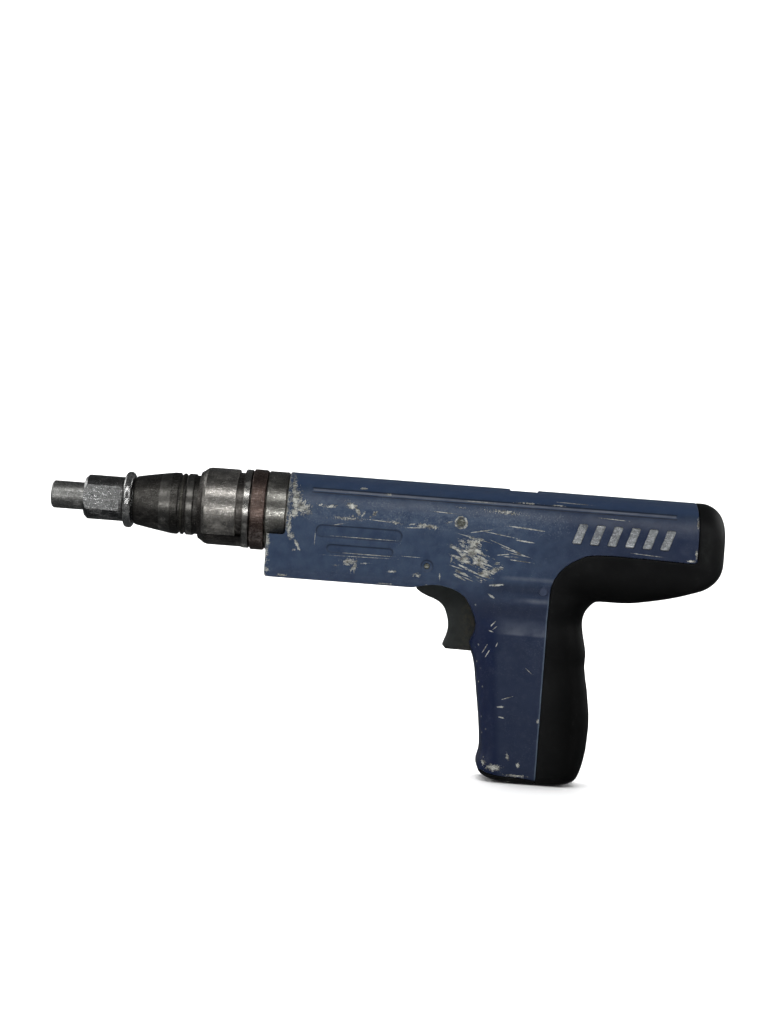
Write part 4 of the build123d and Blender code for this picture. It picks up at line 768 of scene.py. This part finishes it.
def black_cover():
    n = N("black_moulded_cover")
    x, y, z = n.xyz()
    grain = n.noise(1700.0, 3.0, 0.6)
    soft = n.noise(45.0, 4.0, 0.55)
    mid = n.noise(300.0, 5.0, 0.7, dist=0.5)
    col = n.mix(n.ramp(soft, 0.35, 0.7), (0.0030, 0.0032, 0.0036), (0.0062, 0.0065, 0.0066))
    dust = n.ramp(n.math("MULTIPLY_ADD", mid, 0.6, n.math("MULTIPLY", soft, 0.5)), 0.55, 0.8, 0.0, 0.35)
    col = n.mix(dust, col, (0.0100, 0.0108, 0.0104))
    # painted highlight: a paler strip beside the seam at the back of the body
    seam_strip_highlight = n.math("MULTIPLY", n.ramp(x, 0.3258, 0.3272), n.ramp(x, 0.3325, 0.3300))
    seam_strip_highlight = n.math("MULTIPLY", seam_strip_highlight, n.math("MULTIPLY", n.ramp(n.math("ABSOLUTE", n.math("SUBTRACT", z, -0.0015)), 0.0125, 0.008), n.ramp(mid, 0.35, 0.65, 0.25, 1.0)))
    col = n.mix(n.math("MULTIPLY", seam_strip_highlight, 0.3), col, (0.024, 0.027, 0.025))
    sc = n.ramp(n.noise(300.0, 3.0, 0.7, stretch=(1.0, 5.0, 5.0), dist=0.6, offset=(0.5, 0.2, 0.8)), 0.64, 0.70, 0.0, 0.22)
    col = n.mix(sc, col, (0.030, 0.031, 0.030))
    # painted shade: blackest round the back of the grip and under the body
    cover_shade = n.math("MULTIPLY", n.ramp(x, 0.2600, 0.2700), n.ramp(z, -0.0300, -0.0380))
    cover_shade = n.math("MAXIMUM", cover_shade, n.math("MULTIPLY", n.ramp(z, -0.0170, -0.0270), n.ramp(x, 0.2560, 0.2680)))
    col = n.mix(n.math("MULTIPLY", cover_shade, 0.9), col, (0.0007, 0.0008, 0.0008))
    r = n.lerp(dust, 0.52, 0.72)
    h = n.math("ADD", n.math("MULTIPLY", grain, 0.8), n.math("MULTIPLY", mid, 0.35))
    return n.set(col, r, None, n.bump(h, 0.30, 0.00022), 0.13)


def painted_pin():
    n = N("navy_painted_pin")
    mid = n.noise(300.0, 5.0, 0.7)
    col = n.mix(n.ramp(mid, 0.35, 0.7), (0.0090, 0.0160, 0.0400), (0.0150, 0.0250, 0.0560))
    return n.set(col, n.ramp(mid, 0.3, 0.7, 0.48, 0.62), None, n.bump(mid, 0.2, 0.0002), 0.3)


def trigger_plastic():
    n = N("trigger_moulding")
    x, y, z = n.xyz()
    grain = n.noise(1500.0, 3.0, 0.6)
    mid = n.noise(190.0, 5.0, 0.65, dist=0.4)
    col = n.mix(n.ramp(mid, 0.35, 0.7), (0.0100, 0.0125, 0.0115), (0.0210, 0.0250, 0.0235))
    # brown worn dirt towards the back edge
    back = n.math("MULTIPLY", n.ramp(x, 0.2085, 0.2150), n.ramp(z, -0.066, -0.040, 0.5, 1.0))
    back = n.math("MULTIPLY", back, n.ramp(n.noise(420.0, 6.0, 0.75), 0.40, 0.62))
    col = n.mix(n.math("MULTIPLY", back, 0.65), col, (0.060, 0.050, 0.030))
    dust = n.ramp(n.noise(700.0, 5.0, 0.7, offset=(1, 2, 3)), 0.55, 0.75, 0.0, 0.4)
    col = n.mix(dust, col, (0.036, 0.040, 0.036))
    h = n.math("ADD", n.math("MULTIPLY", grain, 0.6), n.math("MULTIPLY", mid, 0.5))
    return n.set(col, n.ramp(mid, 0.3, 0.7, 0.48, 0.66), None, n.bump(h, 0.3, 0.00022), 0.4)


def elastomer():
    n = N("elastomer_brown")
    mid = n.noise(260.0, 4.0, 0.6)
    col = n.mix(mid, (0.06, 0.022, 0.012), (0.11, 0.045, 0.025))
    return n.set(col, n.ramp(mid, 0.3, 0.7, 0.5, 0.7), None, n.bump(mid, 0.3, 0.0002))


M = {
    "paint": paint(),
    "cover": black_cover(),
    "painted_pin": painted_pin(),
    "trigger": trigger_plastic(),
    "tube": steel("steel_muzzle_tube", (0.10, 0.10, 0.095), (0.31, 0.31, 0.297), rough=(0.36, 0.54), scratch=0.7, grime=0.4),
    "nose": steel("steel_nose", (0.046, 0.047, 0.047), (0.170, 0.172, 0.170), rough=(0.26, 0.42), scratch=1.0, grime=0.5),
    "ring": steel("steel_ring", (0.09, 0.09, 0.09), (0.52, 0.52, 0.51), rough=(0.14, 0.30), scratch=0.6, grime=0.35, spots=0.3),
    "cone": steel("steel_cone", (0.024, 0.023, 0.021), (0.085, 0.081, 0.074), rough=(0.34, 0.55), scratch=0.35, grime=0.45, bands=[(55.4, 60.9), (69.2, 71.9)]),
    "thin_ring": steel("steel_thin_ring", (0.030, 0.029, 0.024), (0.095, 0.092, 0.078), rough=(0.34, 0.5), scratch=0.3, grime=0.4),
    "sleeve": steel("steel_sleeve", (0.040, 0.036, 0.033), (0.115, 0.107, 0.097), rough=(0.30, 0.46), scratch=0.5, grime=0.5, bands=[(97.9, 100.7)], band_cols=((0.17, 0.165, 0.155), (0.52, 0.51, 0.48))),
    "band": steel("steel_band", (0.11, 0.105, 0.096), (0.38, 0.362, 0.335), rough=(0.24, 0.42), scratch=0.6, grime=0.5),
    "brown": steel("steel_brown", (0.050, 0.034, 0.028), (0.150, 0.108, 0.092), rough=(0.32, 0.5), scratch=0.6, grime=0.35, grime_col=(0.030, 0.018, 0.013), scuff=(-13.5, 4.5, (0.42, 0.36, 0.34))),
    "receiver": steel("steel_receiver", (0.075, 0.073, 0.066), (0.26, 0.255, 0.232), rough=(0.22, 0.42), scratch=0.6, grime=0.5),
    "screw": steel("steel_screws", (0.022, 0.024, 0.021), (0.12, 0.125, 0.11), rough=(0.34, 0.5), scratch=0.5, grime=0.5),
    "inner": steel("steel_inner", (0.30, 0.30, 0.30), (0.55, 0.55, 0.54), rough=(0.22, 0.36), scratch=0.3, grime=0.1, spots=0.1),
    "spring": steel("steel_spring", (0.22, 0.22, 0.22), (0.45, 0.45, 0.45), rough=(0.25, 0.38), scratch=0.2, grime=0.1, spots=0.1),
    "bars": steel("steel_bars", (0.09, 0.097, 0.103), (0.30, 0.313, 0.322), rough=(0.36, 0.55), scratch=0.5, grime=0.6, grime_col=(0.03, 0.04, 0.06)),
    "elastomer": elastomer(),
}

LOOK = {
    "trigger": "trigger", "muzzle_tube": "tube", "muzzle_nose": "nose", "muzzle_ring": "ring", "nose_cone": "cone", "cone_ring": "thin_ring", "front_sleeve": "sleeve",
    "retaining_band": "band", "wear_ring": "brown", "receiver_tube": "receiver", "barrel_tube": "cone", "buffer_ring": "elastomer",
    "trigger_pin": "screw", "sear_pin": "painted_pin", "pawl_plug": "screw", "spring_guide": "screw", "housing_screws": "screw", "cover_screws": "screw", "base_screws": "screw",
}
for name, ob in nodes.items():
    key = LOOK.get(name, "spring" if name.endswith("_spring") else "inner")
    ob.data.materials.clear()
    ob.data.materials.append(M[key])
for ob, key in [(housing, "paint"), (cover, "cover"), (base, "cover")] + [(turned[k], LOOK[k]) for k in turned]:
    ob.data.materials.clear()
    ob.data.materials.append(M[key])


# six slanted raised bars in place of lettering, on both sides of the casting
def side_bars():
    out = []
    for side in (-1, 1):
        bm = bmesh.new()
        for k in range(6):
            xc = 266.6 + k * 8.75
            outline = []
            for cx, cz, a0 in ((xc + 2.0, 4.3, 0.0), (xc - 0.6, 4.3, math.pi / 2), (xc - 3.4, -4.1, math.pi), (xc - 0.8, -4.1, 3 * math.pi / 2)):
                for j in range(6):
                    a = a0 + (math.pi / 2) * j / 5
                    outline.append((cx + 0.95 * math.cos(a), cz + 0.95 * math.sin(a)))
            mx = sum(p[0] for p in outline) / len(outline)
            mz = sum(p[1] for p in outline) / len(outline)
            layers = []
            for y, shrink in ((19.2, 1.0), (20.42, 1.0), (20.62, 0.93), (20.72, 0.80), (20.74, 0.4)):
                lay = []
                for px_, pz_ in outline:
                    zz = mz + (pz_ - mz) * (1 - (1 - shrink) * 0.55)
                    xx = mx + (px_ - mx) * shrink
                    # the bars follow the round of the side
                    surf = math.sqrt(max(0.0, 20.3 ** 2 - max(0.0, zz) ** 2)) - 20.3
                    lay.append(bm.verts.new((xx * S, side * (y + surf) * S, zz * S)))
                layers.append(lay)
            for a, b in zip(layers, layers[1:]):
                for j in range(len(a)):
                    bm.faces.new((a[j], a[(j + 1) % len(a)], b[(j + 1) % len(b)], b[j]))
            bm.faces.new(layers[0])
            bm.faces.new(layers[-1])
        bmesh.ops.recalc_face_normals(bm, faces=bm.faces)
        me = bpy.data.meshes.new("bars")
        bm.to_mesh(me)
        bm.free()
        ob = link(bpy.data.objects.new("side_bars_left" if side < 0 else "side_bars_right", me))
        shade(ob, 50)
        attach(ob, "root")
        out.append(ob)
    return out


bars = side_bars()
for ob in bars:
    ob.data.materials.append(M["bars"])


# ---------------------------------------------------------------- stage
def flat_mat(name, col, rough):
    n = N(name)
    v = n.noise(6.0, 2.0, 0.5)
    return n.set(n.mix(v, tuple(c * 0.985 for c in col), col), rough)


floor_z = -0.1268
cam_pos = Vector((0.168, -0.915, 0.0036))
bm = bmesh.new()
prof = [(-2.2, floor_z)] + [(0.75 + 0.45 * math.sin(a), floor_z + 0.45 - 0.45 * math.cos(a)) for a in (math.pi / 2 * k / 16 for k in range(17))] + [(1.2, 2.2)]
rows = [[bm.verts.new((x, y, z)) for y, z in prof] for x in (-2.6, 3.0)]
for k in range(len(prof) - 1):
    bm.faces.new((rows[0][k], rows[1][k], rows[1][k + 1], rows[0][k + 1]))
bmesh.ops.recalc_face_normals(bm, faces=bm.faces)
me = bpy.data.meshes.new("backdrop")
bm.to_mesh(me)
bm.free()
floor = link(bpy.data.objects.new("backdrop", me))
for p in me.polygons:
    p.use_smooth = True
me.materials.append(flat_mat("backdrop_paper", (0.90, 0.90, 0.90), 0.9))
floor.visible_glossy = False


def area(name, pos, target, size, power, size_y=None, color=(1, 1, 1)):
    li = bpy.data.lights.new(name, "AREA")
    li.energy = power
    li.color = color
    li.size = size
    if size_y:
        li.shape = "RECTANGLE"
        li.size_y = size_y
    ob = link(bpy.data.objects.new(name, li))
    ob.location = pos
    ob.rotation_euler = (Vector(target) - Vector(pos)).to_track_quat("-Z", "Y").to_euler()
    return ob


mid = (0.17, 0.0, -0.02)
area("key", (0.08, -1.02, 0.93), mid, 1.2, 5.2, 0.18)
area("fill_left", (-1.05, -0.95, 0.55), mid, 0.9, 5.6, 0.9)
area("fill_right", (1.40, -0.95, 0.55), mid, 0.9, 5.6, 0.9)
area("back_left", (-1.25, 0.75, 0.60), mid, 0.8, 6.0, 0.8)
area("back_right", (1.60, 0.75, 0.60), mid, 0.8, 6.0, 0.8)
# these two light only the paper, so it stays pale without washing out the object
paper = bpy.data.collections.new("paper_only")
paper.objects.link(floor)
for lamp in (area("back_top", (0.2, 0.9, 1.5), (0.17, 1.1, 0.2), 2.4, 42.0, 1.0), area("wash", (0.17, -0.2, 2.1), (0.17, 0.3, 0.0), 2.6, 34.0, 1.2)):
    lamp.light_linking.receiver_collection = paper

# a low strip picks out the round steel parts and stays off the flat sides
steel_only = bpy.data.collections.new("steel_only")
for name, ob in nodes.items():
    if name not in ("housing", "rear_cover", "grip_base_plate", "trigger"):
        steel_only.objects.link(ob)
for ob in list(turned.values()) + bars:
    steel_only.objects.link(ob)
area("low_front", (0.16, -0.72, -0.095), (0.17, 0, 0.0), 1.0, 2.2, 0.05).light_linking.receiver_collection = steel_only

world = bpy.data.worlds.new("studio")
bpy.context.scene.world = world
world.use_nodes = True
world.node_tree.nodes["Background"].inputs[0].default_value = (0.93, 0.96, 1.0, 1)
world.node_tree.nodes["Background"].inputs[1].default_value = 0.09

cam = bpy.data.cameras.new("cam")
cam.lens = 36 * 915 / 519.2
cam.sensor_width = 36
cam.sensor_fit = "AUTO"
cam.clip_start = 0.01
cam_ob = link(bpy.data.objects.new("cam", cam))
a = math.radians(4.4)
cam_ob.matrix_world = Matrix((
    (math.cos(a), -math.sin(a), 0.0, cam_pos.x),
    (0.0, 0.0, -1.0, cam_pos.y),
    (math.sin(a), math.cos(a), 0.0, cam_pos.z),
    (0, 0, 0, 1)))
bpy.context.scene.camera = cam_ob
bpy.context.scene.view_settings.view_transform = "Standard"

bpy.context.view_layer.update()
